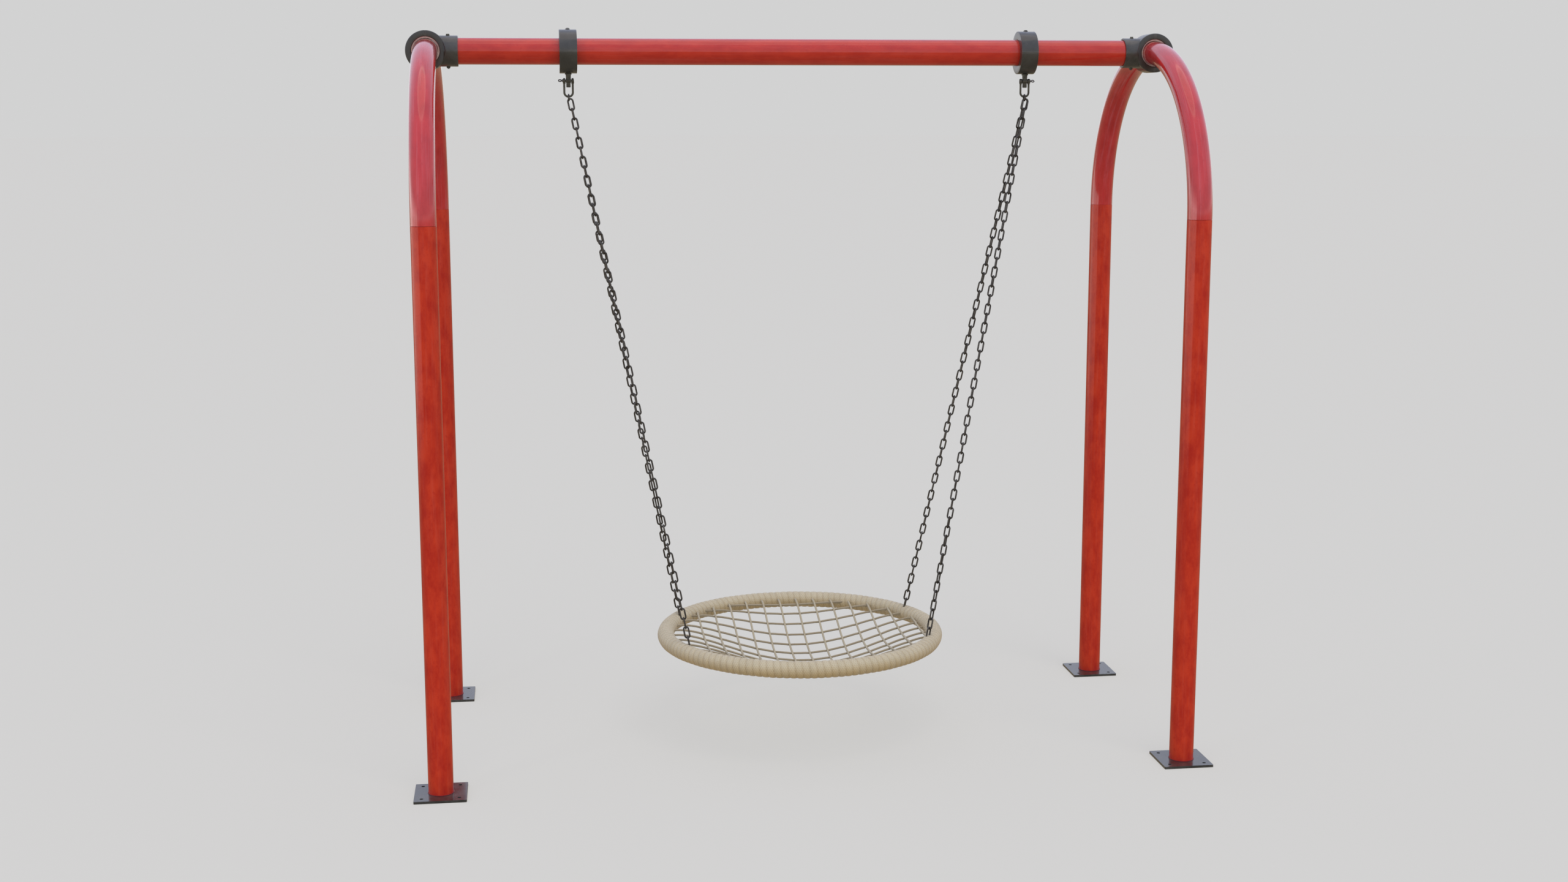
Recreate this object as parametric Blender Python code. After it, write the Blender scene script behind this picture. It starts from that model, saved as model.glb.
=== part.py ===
"""Nest swing: a rope-net basket seat on four chains, under a beam carried by two arched end frames.

Metres, +Z up. X runs along the beam, Y from front to back. The origin is on the ground, under the
middle of the beam.
"""
import math

import bmesh
import bpy
from mathutils import Matrix, Vector

# Fits
GAP = 0.0003              # between two pieces that touch
RUNNING_GAP = 0.00015     # radial, pin in bush
THROUGH = 0.1             # a drill's reach either way, right through what it drills

# Frame
BEAM_AXIS_Z = 2.818
BEAM_R = 0.0518
BEAM_WALL = 0.004
ARCH_X = 1.472            # beam middle to each arch's plane
ARCH_R = 0.646            # centre line of the bent half circle, and half the distance between the legs
LEG_R = 0.048
LEG_WALL = 0.0029
SEAM_Z = BEAM_AXIS_Z - ARCH_R
SPIGOT_LENGTH = 0.100     # the arch's reduced end, inside the leg
SPIGOT_WALL = 0.005
SPIGOT_FIT = 0.0018       # radial, inside the leg
SPIGOT_TAPER = 0.08       # share of the arch's first facet in which its bore widens
PLATE_SIDE = 0.200
PLATE_T = 0.010
PLATE_HOLE_R = 0.007
PLATE_HOLE_SPACING = 0.142

# Collars, which join the beam to the arches
COLLAR_R = 0.0785
COLLAR_LENGTH = 0.095
COLLAR_BORE_R = LEG_R + 0.0016
COLLAR_MOUTH_R = 0.0550
COLLAR_LAND = 0.030       # length of the bore that grips the arch
COLLAR_EDGE = 0.003
SOCKET_R = 0.060
SOCKET_EDGE = 0.002
SOCKET_ROOT = 0.050       # from the arch's axis, within the collar's wall
SOCKET_REACH = 0.125      # from the arch's axis to the socket's open end
SOCKET_BOLT_X = 0.086     # from the arch's axis
BEAM_END = 0.056          # from the arch's axis to the beam's end
BEAM_BORE_START = 0.030   # from the arch's axis
SCREW_R = 0.004
SCREW_HEAD_R = 0.0065
COLLAR_SCREW_Z = 0.066    # above and below the arch's axis
COLLAR_SCREW_SEAT = 0.030 # from the split to the head's seat
COLLAR_SCREW_HEAD = 0.008
COLLAR_SCREW_TIP = 0.028
COLLAR_SCREW_HOLE = 0.031
BOLT_HEAD = 0.0055
BOLT_CHAMFER_R = 0.0015
BOLT_CHAMFER = 0.002

# Hangers
SWING_X = 0.010           # the seat hangs this far right of the beam's middle
HANGER_HALF_SPAN = 0.9286
CLAMP_R = 0.0855
CLAMP_LENGTH = 0.069
CLAMP_EDGE = 0.0025
ROD_R = 0.005
ROD_OUT = 0.003           # above the clamp
NUT_R = 0.0075
NUT_FLATS = 0.004         # height of the nut's straight part
NUT_HEIGHT = 0.0062
NUT_TOP_R = 0.0045
NUT_DEPTH = 0.0035        # of its blind bore
NECK_R = 0.010
NECK_END = 0.004          # above the pin, inside the barrel
PIN_Z = 2.7045
PIN_R = 0.0045
BUSH_R = 0.0058
BARREL_R = 0.00975
BARREL_LENGTH = 0.0195
TONGUE_DOWN = 0.0265
TONGUE_HALF_T = 0.005
TONGUE_STEP = 0.001       # in from each end of the barrel
SHACKLE_WIRE_R = 0.0041
SHACKLE_HALF_WIDTH = 0.0169
SHACKLE_STRAIGHT = 0.0459
EAR_R = 0.00975
EAR_INNER = 0.0124
EAR_OUTER = 0.0209
PIN_COLLAR_R = 0.0058
PIN_COLLAR_T = 0.003
PIN_STEM_R = 0.0035
PIN_STEM_INSET = 0.0028   # from the eye's hole to the end of the stem, within the eye
EYE_HEAD_X = 0.0335
EYE_HEAD_R = 0.0078
EYE_HEAD_HALF_T = 0.002
EYE_HOLE_R = 0.003
TOP_RING_R = 0.0116       # centre line
CHAIN_WIRE_R = 0.0034

# Seat
SEAT_R = 0.565            # centre line of the ring
SEAT_Z = 0.414
WRAP_R = 0.035
FOAM_R = 0.0285
CORE_R = 0.015
CORE_WALL = 0.0025
CORE_FIT = 4 * GAP        # radial, core in padding
EYE_FIT = 0.001           # radial, core in each chain eye
EYE_ANGLE = 27.0          # degrees, from the X axis to each chain eye
EYE_INSET = 0.012         # the eyes stand this far inside the ring's centre line
EYE_RING_R = 0.008
EYE_WIRE_R = 0.0034
CHAIN_LOW_Z = SEAT_Z + 0.026
EXIT_HALF_ANGLE = 1.05    # degrees, half of the slot that each chain leaves by
CHAIN_BAR_R = 0.0058      # a bar of the same weight for each metre as the chain
CHAIN_APART = 0.004       # from the hanger's middle to each chain's first link
CHAIN_SHIFT = 0.005       # the links lie this far right in their ring and eye
CHAIN_TOP_CLEAR = 0.022   # from the top ring to the bar
CHAIN_LOW_CLEAR = 0.014   # from the eye to the bar
CHAIN_TAPER = 0.006

# Net
NET_ROPE = 0.008          # square section
NET_PITCH_X = 0.0762
NET_PITCH_Y = 0.077
NET_COLUMNS = 13          # ropes that run from front to back
NET_ROWS = 13             # ropes that run from left to right
NET_OFFSET_X = 0.0545
NET_OFFSET_Y = 0.0055
NET_SAG = 0.130
NET_SAG_POWER = 1.73
NET_SAG_R = 0.540         # of the sagging part
NET_LOWEST = (0.024, -0.030)      # where the net hangs lowest
NET_LIFT = 0.0065         # of its ends, above the ring's middle
NET_CLEAR = 0.004         # from the rope ends to the winding
NET_R = SEAT_R - WRAP_R - NET_CLEAR
NET_EDGE = 0.002          # ropes that would cross nearer the net's edge than this don't meet
NET_CUTS_X = (-0.1357, 0.1703)    # between ropes, where the net's patches part
NET_CUT_Y = 0.060
NET_SMOOTH_ANGLE = 20.0

# Facets
ARCH_STEPS = 6            # up each side
ARCH_TOP_STEP = 4.0       # degrees
TUBE_SIDES = 16
RING_SIDES = 10
CORE_SIDES = 8
WIRE_SIDES = 6
BEAM_SIDES = 20
HALF_TURN_STEPS = BEAM_SIDES // 2
SMALL_SIDES = 12
BOLT_SIDES = 8
SHACKLE_SIDES = 8
BAR_SIDES = 8
BOW_STEPS = 6
TOP_RING_STEPS = 12
EYE_STEPS = 10
LONG_SPAN_STEPS = 12
SHORT_SPAN_STEPS = 5
HOLE_SIDES = 10
ROUND_SIDES = 16

X = Vector((1, 0, 0))
Y = Vector((0, 1, 0))
Z = Vector((0, 0, 1))
SIDES = (("left", -1), ("right", 1))
ENDS = (("front", -1), ("rear", 1))


def clear_scene():
    for item in list(bpy.data.objects):
        bpy.data.objects.remove(item, do_unlink=True)


def material(name, color, roughness, metallic=0.0):
    made = bpy.data.materials.new(name)
    made.use_nodes = True
    shader = made.node_tree.nodes["Principled BSDF"]
    shader.inputs["Base Color"].default_value = (*color, 1.0)
    shader.inputs["Roughness"].default_value = roughness
    shader.inputs["Metallic"].default_value = metallic
    return made


def make_object(name, bm, slot, smooth_angle=35.0):
    """Turn a finished bmesh into a named object, smooth except across its sharp edges."""
    bmesh.ops.recalc_face_normals(bm, faces=bm.faces)
    mesh = bpy.data.meshes.new(name)
    bm.to_mesh(mesh)
    bm.free()
    mesh.materials.append(slot)
    mesh.shade_smooth()
    mesh.set_sharp_from_angle(angle=math.radians(smooth_angle))
    made = bpy.data.objects.new(name, mesh)
    bpy.context.collection.objects.link(made)
    return made


def make_guide(name, bm):
    """An object that only cuts or joins others."""
    bmesh.ops.recalc_face_normals(bm, faces=bm.faces)
    mesh = bpy.data.meshes.new(name)
    bm.to_mesh(mesh)
    bm.free()
    made = bpy.data.objects.new(name, mesh)
    made.hide_render = True
    made.display_type = "WIRE"
    bpy.context.collection.objects.link(made)
    return made


def boolean(target, guide, operation):
    step = target.modifiers.new(guide.name, "BOOLEAN")
    step.operation = operation
    step.solver = "EXACT"
    step.object = guide


def circle(centre, u, v, radius, sides):
    turn = math.tau / sides
    return [centre + radius * (math.cos(k * turn) * u + math.sin(k * turn) * v) for k in range(sides)]


def loft(bm, loops, closed=False):
    """Skin a row of loops that have the same number of points."""
    rings = [[bm.verts.new(point) for point in loop] for loop in loops]
    pairs = list(zip(rings, rings[1:]))
    if closed:
        pairs.append((rings[-1], rings[0]))
    for first, second in pairs:
        for k in range(len(first)):
            after = (k + 1) % len(first)
            bm.faces.new((first[k], first[after], second[after], second[k]))
    return rings


def solid(bm, loops):
    """Skin the loops and close both ends."""
    rings = loft(bm, loops)
    bm.faces.new(rings[0])
    bm.faces.new(rings[-1])


def pipe(bm, outer_loops, inner_loops):
    """A hollow run, open at both ends."""
    outer = loft(bm, outer_loops)
    inner = loft(bm, inner_loops)
    for rim, bore in ((outer[0], inner[0]), (outer[-1], inner[-1])):
        for k in range(len(rim)):
            after = (k + 1) % len(rim)
            bm.faces.new((rim[k], rim[after], bore[after], bore[k]))


def turned(bm, centre, axis, across, profile, sides=SMALL_SIDES):
    """A solid of revolution, from (distance along the axis, radius) pairs."""
    other = axis.cross(across)
    solid(bm, [circle(centre + along * axis, across, other, radius, sides) for along, radius in profile])


def straight_pipe(bm, start, end, outer_r, inner_r, sides=TUBE_SIDES):
    axis = (end - start).normalized()
    across = Y if abs(axis.z) < 0.5 else X
    other = axis.cross(across)
    pipe(
        bm,
        [circle(point, across, other, outer_r, sides) for point in (start, end)],
        [circle(point, across, other, inner_r, sides) for point in (start, end)],
    )


def half_ring(bm, centre, axis, start, profile, steps=HALF_TURN_STEPS):
    """Turn a closed (radius, distance along the axis) outline half a turn about the axis, from start."""
    loops = []
    for k in range(steps + 1):
        outward = Matrix.Rotation(math.pi * k / steps, 3, axis) @ start
        loops.append([centre + radius * outward + along * axis for radius, along in profile])
    solid(bm, loops)


def box(bm, low, high):
    lower = [(low.x, low.y), (high.x, low.y), (high.x, high.y), (low.x, high.y)]
    solid(bm, [[Vector((x, y, z)) for x, y in lower] for z in (low.z, high.z)])


# ---------------------------------------------------------------- frame

def make_beam(red):
    bm = bmesh.new()
    reach = (ARCH_X - BEAM_END) * X
    axis = BEAM_AXIS_Z * Z
    straight_pipe(bm, axis - reach, axis + reach, BEAM_R, BEAM_R - BEAM_WALL, BEAM_SIDES)
    beam = make_object("beam", bm, red)
    holes = bmesh.new()
    bolt_x = ARCH_X - SOCKET_BOLT_X
    for x, radius in (
        (-bolt_x, SCREW_R),
        (hanger_x(-1), ROD_R),
        (hanger_x(1), ROD_R),
        (bolt_x, SCREW_R),
    ):
        turned(holes, x * X + axis, Z, X, ((-THROUGH, radius + GAP), (THROUGH, radius + GAP)))
    boolean(beam, make_guide("beam_holes", holes), "DIFFERENCE")


def arch_turns():
    """Degrees round the arch, with short steps at the top, where the collar grips it."""
    rise = [(90 - ARCH_TOP_STEP) * k / ARCH_STEPS for k in range(ARCH_STEPS + 1)]
    return rise + [90.0] + [180 - turn for turn in reversed(rise)]


def arch_loops(x, radius):
    centre = x * X + SEAM_Z * Z
    loops = []
    for degrees in arch_turns():
        turn = math.radians(degrees)
        outward = -math.cos(turn) * Y + math.sin(turn) * Z
        loops.append(circle(centre + ARCH_R * outward, X, outward, radius, TUBE_SIDES))
    return loops


def spigot_loops(x, depth, radius):
    """The arch's reduced end, from its tip up to the seam."""
    seam = Vector((x, depth * ARCH_R, SEAM_Z))
    outward = depth * Y
    return [circle(seam - down * Z, X, outward, radius, TUBE_SIDES) for down in (SPIGOT_LENGTH, 0)]


def widened(loops):
    """Start the arch's bore a little way up its first and last facets, clear of the shoulders."""
    def part_way(first, second):
        return [a.lerp(b, SPIGOT_TAPER) for a, b in zip(first, second)]

    return [part_way(loops[0], loops[1]), *loops[1:-1], part_way(loops[-1], loops[-2])]


def make_arch(side, sign, red):
    x = sign * ARCH_X
    fit_r = LEG_R - LEG_WALL - SPIGOT_FIT
    runs = []
    for spigot_r, run in (
        (fit_r, arch_loops(x, LEG_R)),
        (fit_r - SPIGOT_WALL, widened(arch_loops(x, LEG_R - LEG_WALL))),
    ):
        rear = spigot_loops(x, 1, spigot_r)
        runs.append([*spigot_loops(x, -1, spigot_r), *run, *reversed(rear)])
    bm = bmesh.new()
    pipe(bm, *runs)
    make_object(side + "_arch", bm, red)


def make_leg(side, sign, end, depth, red):
    foot = Vector((sign * ARCH_X, depth * ARCH_R, 0))
    bm = bmesh.new()
    straight_pipe(bm, foot + (PLATE_T + GAP) * Z, foot + (SEAM_Z - GAP) * Z, LEG_R, LEG_R - LEG_WALL)
    make_object(f"leg_{end}_{side}", bm, red)


def make_base_plate(side, sign, end, depth, black):
    middle = Vector((sign * ARCH_X, depth * ARCH_R, 0))
    half = PLATE_SIDE / 2
    bm = bmesh.new()
    box(bm, middle - half * (X + Y), middle + half * (X + Y) + PLATE_T * Z)
    name = f"base_plate_{end}_{side}"
    plate = make_object(name, bm, black)
    holes = bmesh.new()
    for across in (-0.5, 0.5):
        for along in (-0.5, 0.5):
            place = middle + PLATE_HOLE_SPACING * (across * X + along * Y)
            turned(holes, place, Z, X, ((-THROUGH, PLATE_HOLE_R), (THROUGH, PLATE_HOLE_R)), HOLE_SIDES)
    boolean(plate, make_guide(name + "_holes", holes), "DIFFERENCE")


# ---------------------------------------------------------------- collars

def collar_outline():
    """Half of the collar's wall, as (radius, distance along the arch), with a flared bore."""
    half = COLLAR_LENGTH / 2
    land = COLLAR_LAND / 2
    return [
        (COLLAR_BORE_R, -land),
        (COLLAR_MOUTH_R, -half),
        (COLLAR_R - COLLAR_EDGE, -half),
        (COLLAR_R, COLLAR_EDGE - half),
        (COLLAR_R, half - COLLAR_EDGE),
        (COLLAR_R - COLLAR_EDGE, half),
        (COLLAR_MOUTH_R, half),
        (COLLAR_BORE_R, land),
    ]


def socket_loops(centre, inward):
    """The beam socket, trimmed to the collar's length where the two run into each other."""
    half = COLLAR_LENGTH / 2
    loops = []
    for reach, radius, trimmed in (
        (SOCKET_ROOT, SOCKET_R, True),
        (COLLAR_R, SOCKET_R, True),
        (COLLAR_R + GAP, SOCKET_R, False),
        (SOCKET_REACH - SOCKET_EDGE, SOCKET_R, False),
        (SOCKET_REACH, SOCKET_R - SOCKET_EDGE, False),
    ):
        loop = circle(centre + reach * inward, Y, Z, radius, BEAM_SIDES)
        if trimmed:
            for point in loop:
                point.y = max(-half, min(half, point.y))
        loops.append(loop)
    return loops


def make_collar(side, sign, cast, zinc):
    centre = Vector((sign * ARCH_X, 0, BEAM_AXIS_Z))
    inward = -sign * X
    split = GAP / 2

    bm = bmesh.new()
    half_ring(bm, centre + split * inward, sign * Y, -Z, collar_outline())
    inner = make_object(f"collar_inner_{side}", bm, cast)
    parts = bmesh.new()
    solid(parts, socket_loops(centre, inward))
    boolean(inner, make_guide(f"{side}_socket", parts), "UNION")
    mouth = bmesh.new()
    bore = [(along, radius) for radius, along in collar_outline() if radius <= COLLAR_MOUTH_R]
    turned(mouth, centre + split * inward, Y, Z, sorted(bore), BEAM_SIDES)
    boolean(inner, make_guide(f"{side}_arch_bore", mouth), "DIFFERENCE")
    holes = bmesh.new()
    bore = ((BEAM_BORE_START, BEAM_R + GAP), (SOCKET_REACH + GAP, BEAM_R + GAP))
    turned(holes, centre, inward, Y, bore, BEAM_SIDES)
    boolean(inner, make_guide(f"{side}_beam_bore", holes), "DIFFERENCE")

    bm = bmesh.new()
    half_ring(bm, centre - split * inward, sign * Y, Z, collar_outline())
    outer = make_object(f"collar_outer_{side}", bm, cast)

    seat = COLLAR_SCREW_SEAT
    clearances = bmesh.new()
    for level in (-COLLAR_SCREW_Z, COLLAR_SCREW_Z):
        profile = (
            (-THROUGH, SCREW_HEAD_R + 2 * GAP),
            (-seat, SCREW_HEAD_R + 2 * GAP),
            (-seat, SCREW_R + GAP),
            (COLLAR_SCREW_HOLE, SCREW_R + GAP),
        )
        turned(clearances, centre + level * Z, inward, Y, profile, BOLT_SIDES)
    guide = make_guide(f"{side}_screw_holes", clearances)
    boolean(outer, guide, "DIFFERENCE")
    boolean(inner, guide, "DIFFERENCE")
    for place, level in (("lower", -COLLAR_SCREW_Z), ("upper", COLLAR_SCREW_Z)):
        bm = bmesh.new()
        profile = (
            (-seat - COLLAR_SCREW_HEAD, SCREW_HEAD_R),
            (-seat - GAP, SCREW_HEAD_R),
            (-seat - GAP, SCREW_R),
            (COLLAR_SCREW_TIP, SCREW_R),
        )
        turned(bm, centre + level * Z, inward, Y, profile, BOLT_SIDES)
        make_object(f"collar_screw_{place}_{side}", bm, zinc)

    bolt_middle = centre + SOCKET_BOLT_X * inward
    holes = bmesh.new()
    turned(holes, bolt_middle, Z, X, ((-THROUGH, SCREW_R + GAP), (THROUGH, SCREW_R + GAP)))
    boolean(inner, make_guide(f"{side}_socket_bolt_hole", holes), "DIFFERENCE")
    seat = SOCKET_R + GAP
    top = seat + BOLT_HEAD
    upper = (
        (seat, SCREW_R),
        (seat, SCREW_HEAD_R),
        (top - BOLT_CHAMFER, SCREW_HEAD_R),
        (top, SCREW_HEAD_R - BOLT_CHAMFER_R),
    )
    lower = [(-along, radius) for along, radius in reversed(upper)]
    bm = bmesh.new()
    turned(bm, bolt_middle, Z, X, (*lower, *upper), BOLT_SIDES)
    make_object(f"socket_bolt_{side}", bm, zinc)


# ---------------------------------------------------------------- hangers

def hanger_x(sign):
    return SWING_X + sign * HANGER_HALF_SPAN


def make_clamp(side, sign, cast):
    centre = Vector((hanger_x(sign), 0, BEAM_AXIS_Z))
    half = CLAMP_LENGTH / 2
    bore = BEAM_R + GAP
    outline = [
        (bore, -half),
        (CLAMP_R - CLAMP_EDGE, -half),
        (CLAMP_R, CLAMP_EDGE - half),
        (CLAMP_R, half - CLAMP_EDGE),
        (CLAMP_R - CLAMP_EDGE, half),
        (bore, half),
    ]
    hole = bmesh.new()
    turned(hole, centre, Z, X, ((-THROUGH, ROD_R + GAP), (THROUGH, ROD_R + GAP)))
    guide = make_guide(f"{side}_rod_hole", hole)
    for place, lift, start in (("upper", 1, -Y), ("lower", -1, Y)):
        bm = bmesh.new()
        half_ring(bm, centre + lift * GAP / 2 * Z, -X, start, outline)
        boolean(make_object(f"clamp_{place}_{side}", bm, cast), guide, "DIFFERENCE")


def make_lug(side, sign, forged, nylon, zinc):
    pin = Vector((hanger_x(sign), 0, PIN_Z))
    clamp_top = BEAM_AXIS_Z + CLAMP_R - PIN_Z + GAP
    shoulder = BEAM_AXIS_Z - CLAMP_R - PIN_Z - GAP
    bm = bmesh.new()
    turned(
        bm, pin, Z, X,
        ((NECK_END, NECK_R), (shoulder, NECK_R), (shoulder, ROD_R), (clamp_top + ROD_OUT, ROD_R)),
    )
    lug = make_object(f"hanger_lug_{side}", bm, forged)
    half = BARREL_LENGTH / 2
    bm = bmesh.new()
    turned(bm, pin, X, Z, ((-half, BARREL_R), (half, BARREL_R)), ROUND_SIDES)
    boolean(lug, make_guide(f"{side}_barrel", bm), "UNION")
    bm = bmesh.new()
    reach = half - TONGUE_STEP
    low = pin + Vector((-reach, -TONGUE_HALF_T, -TONGUE_DOWN))
    box(bm, low, pin + Vector((reach, TONGUE_HALF_T, 0)))
    boolean(lug, make_guide(f"{side}_tongue", bm), "UNION")
    bm = bmesh.new()
    turned(bm, pin, X, Z, ((-THROUGH, BUSH_R + GAP), (THROUGH, BUSH_R + GAP)), ROUND_SIDES)
    boolean(lug, make_guide(f"{side}_pin_bore", bm), "DIFFERENCE")

    bm = bmesh.new()
    straight_pipe(bm, pin - half * X, pin + half * X, BUSH_R, PIN_R + RUNNING_GAP)
    make_object(f"pin_bush_{side}", bm, nylon)

    cap = pin + clamp_top * Z
    bm = bmesh.new()
    profile = (
        (NUT_DEPTH, ROD_R + GAP),
        (0, ROD_R + GAP),
        (0, NUT_R),
        (NUT_FLATS, NUT_R),
        (NUT_HEIGHT, NUT_TOP_R),
    )
    turned(bm, cap, Z, X, profile)
    make_object(f"hanger_nut_{side}", bm, zinc)


def make_shackle(side, sign, forged):
    pin = Vector((hanger_x(sign), 0, PIN_Z))
    bow_centre = pin - SHACKLE_STRAIGHT * Z
    half = SHACKLE_HALF_WIDTH
    bm = bmesh.new()
    loops = [circle(pin + half * X, X, Y, SHACKLE_WIRE_R, SHACKLE_SIDES)]
    for k in range(BOW_STEPS + 1):
        turn = math.pi * k / BOW_STEPS
        outward = math.cos(turn) * X - math.sin(turn) * Z
        loops.append(circle(bow_centre + half * outward, outward, Y, SHACKLE_WIRE_R, SHACKLE_SIDES))
    loops.append(circle(pin - half * X, -X, Y, SHACKLE_WIRE_R, SHACKLE_SIDES))
    solid(bm, loops)
    shackle = make_object(f"shackle_{side}", bm, forged)
    for place, sense in (("outer", sign), ("inner", -sign)):
        ear = bmesh.new()
        turned(ear, pin, sense * X, Z, ((EAR_INNER, EAR_R), (EAR_OUTER, EAR_R)), ROUND_SIDES)
        boolean(shackle, make_guide(f"{side}_{place}_ear", ear), "UNION")
    bore = bmesh.new()
    turned(bore, pin, X, Z, ((-THROUGH, PIN_R + GAP), (THROUGH, PIN_R + GAP)), ROUND_SIDES)
    boolean(shackle, make_guide(f"{side}_shackle_bore", bore), "DIFFERENCE")


def make_shackle_pin(side, sign, zinc):
    pin = Vector((hanger_x(sign), 0, PIN_Z))
    outward = sign * X
    bm = bmesh.new()
    profile = (
        (-EAR_OUTER, PIN_R),
        (EAR_OUTER + GAP, PIN_R),
        (EAR_OUTER + GAP, PIN_COLLAR_R),
        (EAR_OUTER + PIN_COLLAR_T, PIN_COLLAR_R),
        (EAR_OUTER + PIN_COLLAR_T, PIN_STEM_R),
        (EYE_HEAD_X - EYE_HOLE_R - PIN_STEM_INSET, PIN_STEM_R),
    )
    turned(bm, pin, outward, Z, profile, ROUND_SIDES)
    made = make_object(f"shackle_pin_{side}", bm, zinc)
    eye = pin + EYE_HEAD_X * outward
    bm = bmesh.new()
    turned(bm, eye, Y, Z, ((-EYE_HEAD_HALF_T, EYE_HEAD_R), (EYE_HEAD_HALF_T, EYE_HEAD_R)))
    boolean(made, make_guide(f"{side}_eye_head", bm), "UNION")
    bm = bmesh.new()
    turned(bm, eye, Y, Z, ((-THROUGH, EYE_HOLE_R), (THROUGH, EYE_HOLE_R)), BOLT_SIDES)
    boolean(made, make_guide(f"{side}_eye_hole", bm), "DIFFERENCE")


def top_ring_centre(sign):
    """The connecting ring hangs on the shackle's bow."""
    bow_top = PIN_Z - SHACKLE_STRAIGHT - SHACKLE_HALF_WIDTH + SHACKLE_WIRE_R
    inner_r = TOP_RING_R - CHAIN_WIRE_R
    return Vector((hanger_x(sign), 0, bow_top + GAP - inner_r))


def ring_of_wire(bm, centre, u, v, radius, wire_r, steps):
    loops = []
    for k in range(steps):
        turn = math.tau * k / steps
        outward = math.cos(turn) * u + math.sin(turn) * v
        loops.append(circle(centre + radius * outward, outward, u.cross(v), wire_r, WIRE_SIDES))
    loft(bm, loops, closed=True)


def make_top_ring(side, sign, steel):
    bm = bmesh.new()
    ring_of_wire(bm, top_ring_centre(sign), Y, Z, TOP_RING_R, CHAIN_WIRE_R, TOP_RING_STEPS)
    make_object(f"top_ring_{side}", bm, steel)


# ---------------------------------------------------------------- seat

def seat_point(angle, radius, height=SEAT_Z):
    turn = math.radians(angle)
    return Vector((SWING_X + radius * math.cos(turn), radius * math.sin(turn), height))


def chain_angle(sign, depth):
    return {(1, 1): EYE_ANGLE, (-1, 1): 180 - EYE_ANGLE, (-1, -1): 180 + EYE_ANGLE, (1, -1): -EYE_ANGLE}[
        sign, depth
    ]


def make_chain(side, sign, end, depth, steel):
    """A taut chain as one straight bar, short of the ring above and of the eye below."""
    shift = CHAIN_SHIFT * X
    top = top_ring_centre(sign) + depth * CHAIN_APART * Y - (TOP_RING_R - CHAIN_WIRE_R) * Z + shift
    low = seat_point(chain_angle(sign, depth), SEAT_R - EYE_INSET, CHAIN_LOW_Z) + shift
    along = (low - top).normalized()
    across = along.cross(Y).normalized()
    other = along.cross(across)
    start = top + CHAIN_TOP_CLEAR * along
    finish = low - CHAIN_LOW_CLEAR * along
    loops = []
    for point, radius in (
        (start, CHAIN_BAR_R / 2),
        (start + CHAIN_TAPER * along, CHAIN_BAR_R),
        (finish - CHAIN_TAPER * along, CHAIN_BAR_R),
        (finish, CHAIN_BAR_R / 2),
    ):
        loops.append(circle(point, across, other, radius, BAR_SIDES))
    bm = bmesh.new()
    solid(bm, loops)
    make_object(f"chain_{end}_{side}", bm, steel)


def make_chain_eye(side, sign, end, depth, steel):
    """A small ring standing on the core, cut away where the core passes."""
    angle = chain_angle(sign, depth)
    centre = seat_point(angle, SEAT_R - EYE_INSET, CHAIN_LOW_Z - EYE_RING_R + EYE_WIRE_R)
    bm = bmesh.new()
    ring_of_wire(bm, centre, X, Z, EYE_RING_R, EYE_WIRE_R, EYE_STEPS)
    name = f"chain_eye_{end}_{side}"
    eye = make_object(name, bm, steel)
    turn = math.radians(angle)
    tangent = -math.sin(turn) * X + math.cos(turn) * Y
    clear = CORE_R + EYE_FIT
    bm = bmesh.new()
    turned(bm, seat_point(angle, SEAT_R), tangent, Z, ((-CORE_R, clear), (CORE_R, clear)))
    boolean(eye, make_guide(name + "_cut", bm), "DIFFERENCE")


def spans():
    """The four stretches of padding and winding between the chain eyes: name, angles of their sections."""
    first = EYE_ANGLE + EXIT_HALF_ANGLE
    last = 180 - first
    limits = (
        ("rear", first, last, LONG_SPAN_STEPS),
        ("left", last + 2 * EXIT_HALF_ANGLE, 360 - last - 2 * EXIT_HALF_ANGLE, SHORT_SPAN_STEPS),
        ("front", 180 + first, 360 - first, LONG_SPAN_STEPS),
        ("right", 360 - first + 2 * EXIT_HALF_ANGLE, 360 + first - 2 * EXIT_HALF_ANGLE, SHORT_SPAN_STEPS),
    )
    for name, start, finish, steps in limits:
        yield name, [start + (finish - start) * k / steps for k in range(steps + 1)]


def ring_loops(angles, radius, sides=RING_SIDES):
    loops = []
    for angle in angles:
        turn = math.radians(angle)
        outward = math.cos(turn) * X + math.sin(turn) * Y
        loops.append(circle(seat_point(angle, SEAT_R), outward, Z, radius, sides))
    return loops


def make_ring(steel, foam, rope):
    """Core tube, bent round from a butt joint at the back, then padding and winding over it."""
    butt = math.degrees(GAP / SEAT_R)
    angles = [angle for _, span in spans() for angle in span]
    half = angles.index(90.0)
    round_trip = [90.0 + butt] + angles[half + 1:] + [angle + 360 for angle in angles[:half]] + [450.0 - butt]
    bm = bmesh.new()
    outer = ring_loops(round_trip, CORE_R, CORE_SIDES)
    pipe(bm, outer, ring_loops(round_trip, CORE_R - CORE_WALL, CORE_SIDES))
    make_object("ring_core", bm, steel)
    for name, span in spans():
        bm = bmesh.new()
        pipe(bm, ring_loops(span, FOAM_R), ring_loops(span, CORE_R + CORE_FIT))
        make_object("padding_" + name, bm, foam)
        bm = bmesh.new()
        pipe(bm, ring_loops(span, WRAP_R), ring_loops(span, FOAM_R + GAP))
        make_object("rope_wrap_" + name, bm, rope)


def net_sag(x, y):
    spread = min(1.0, math.hypot(x - NET_LOWEST[0], y - NET_LOWEST[1]) / NET_SAG_R)
    return NET_SAG * (1 - spread * spread) ** NET_SAG_POWER - NET_LIFT


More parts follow.
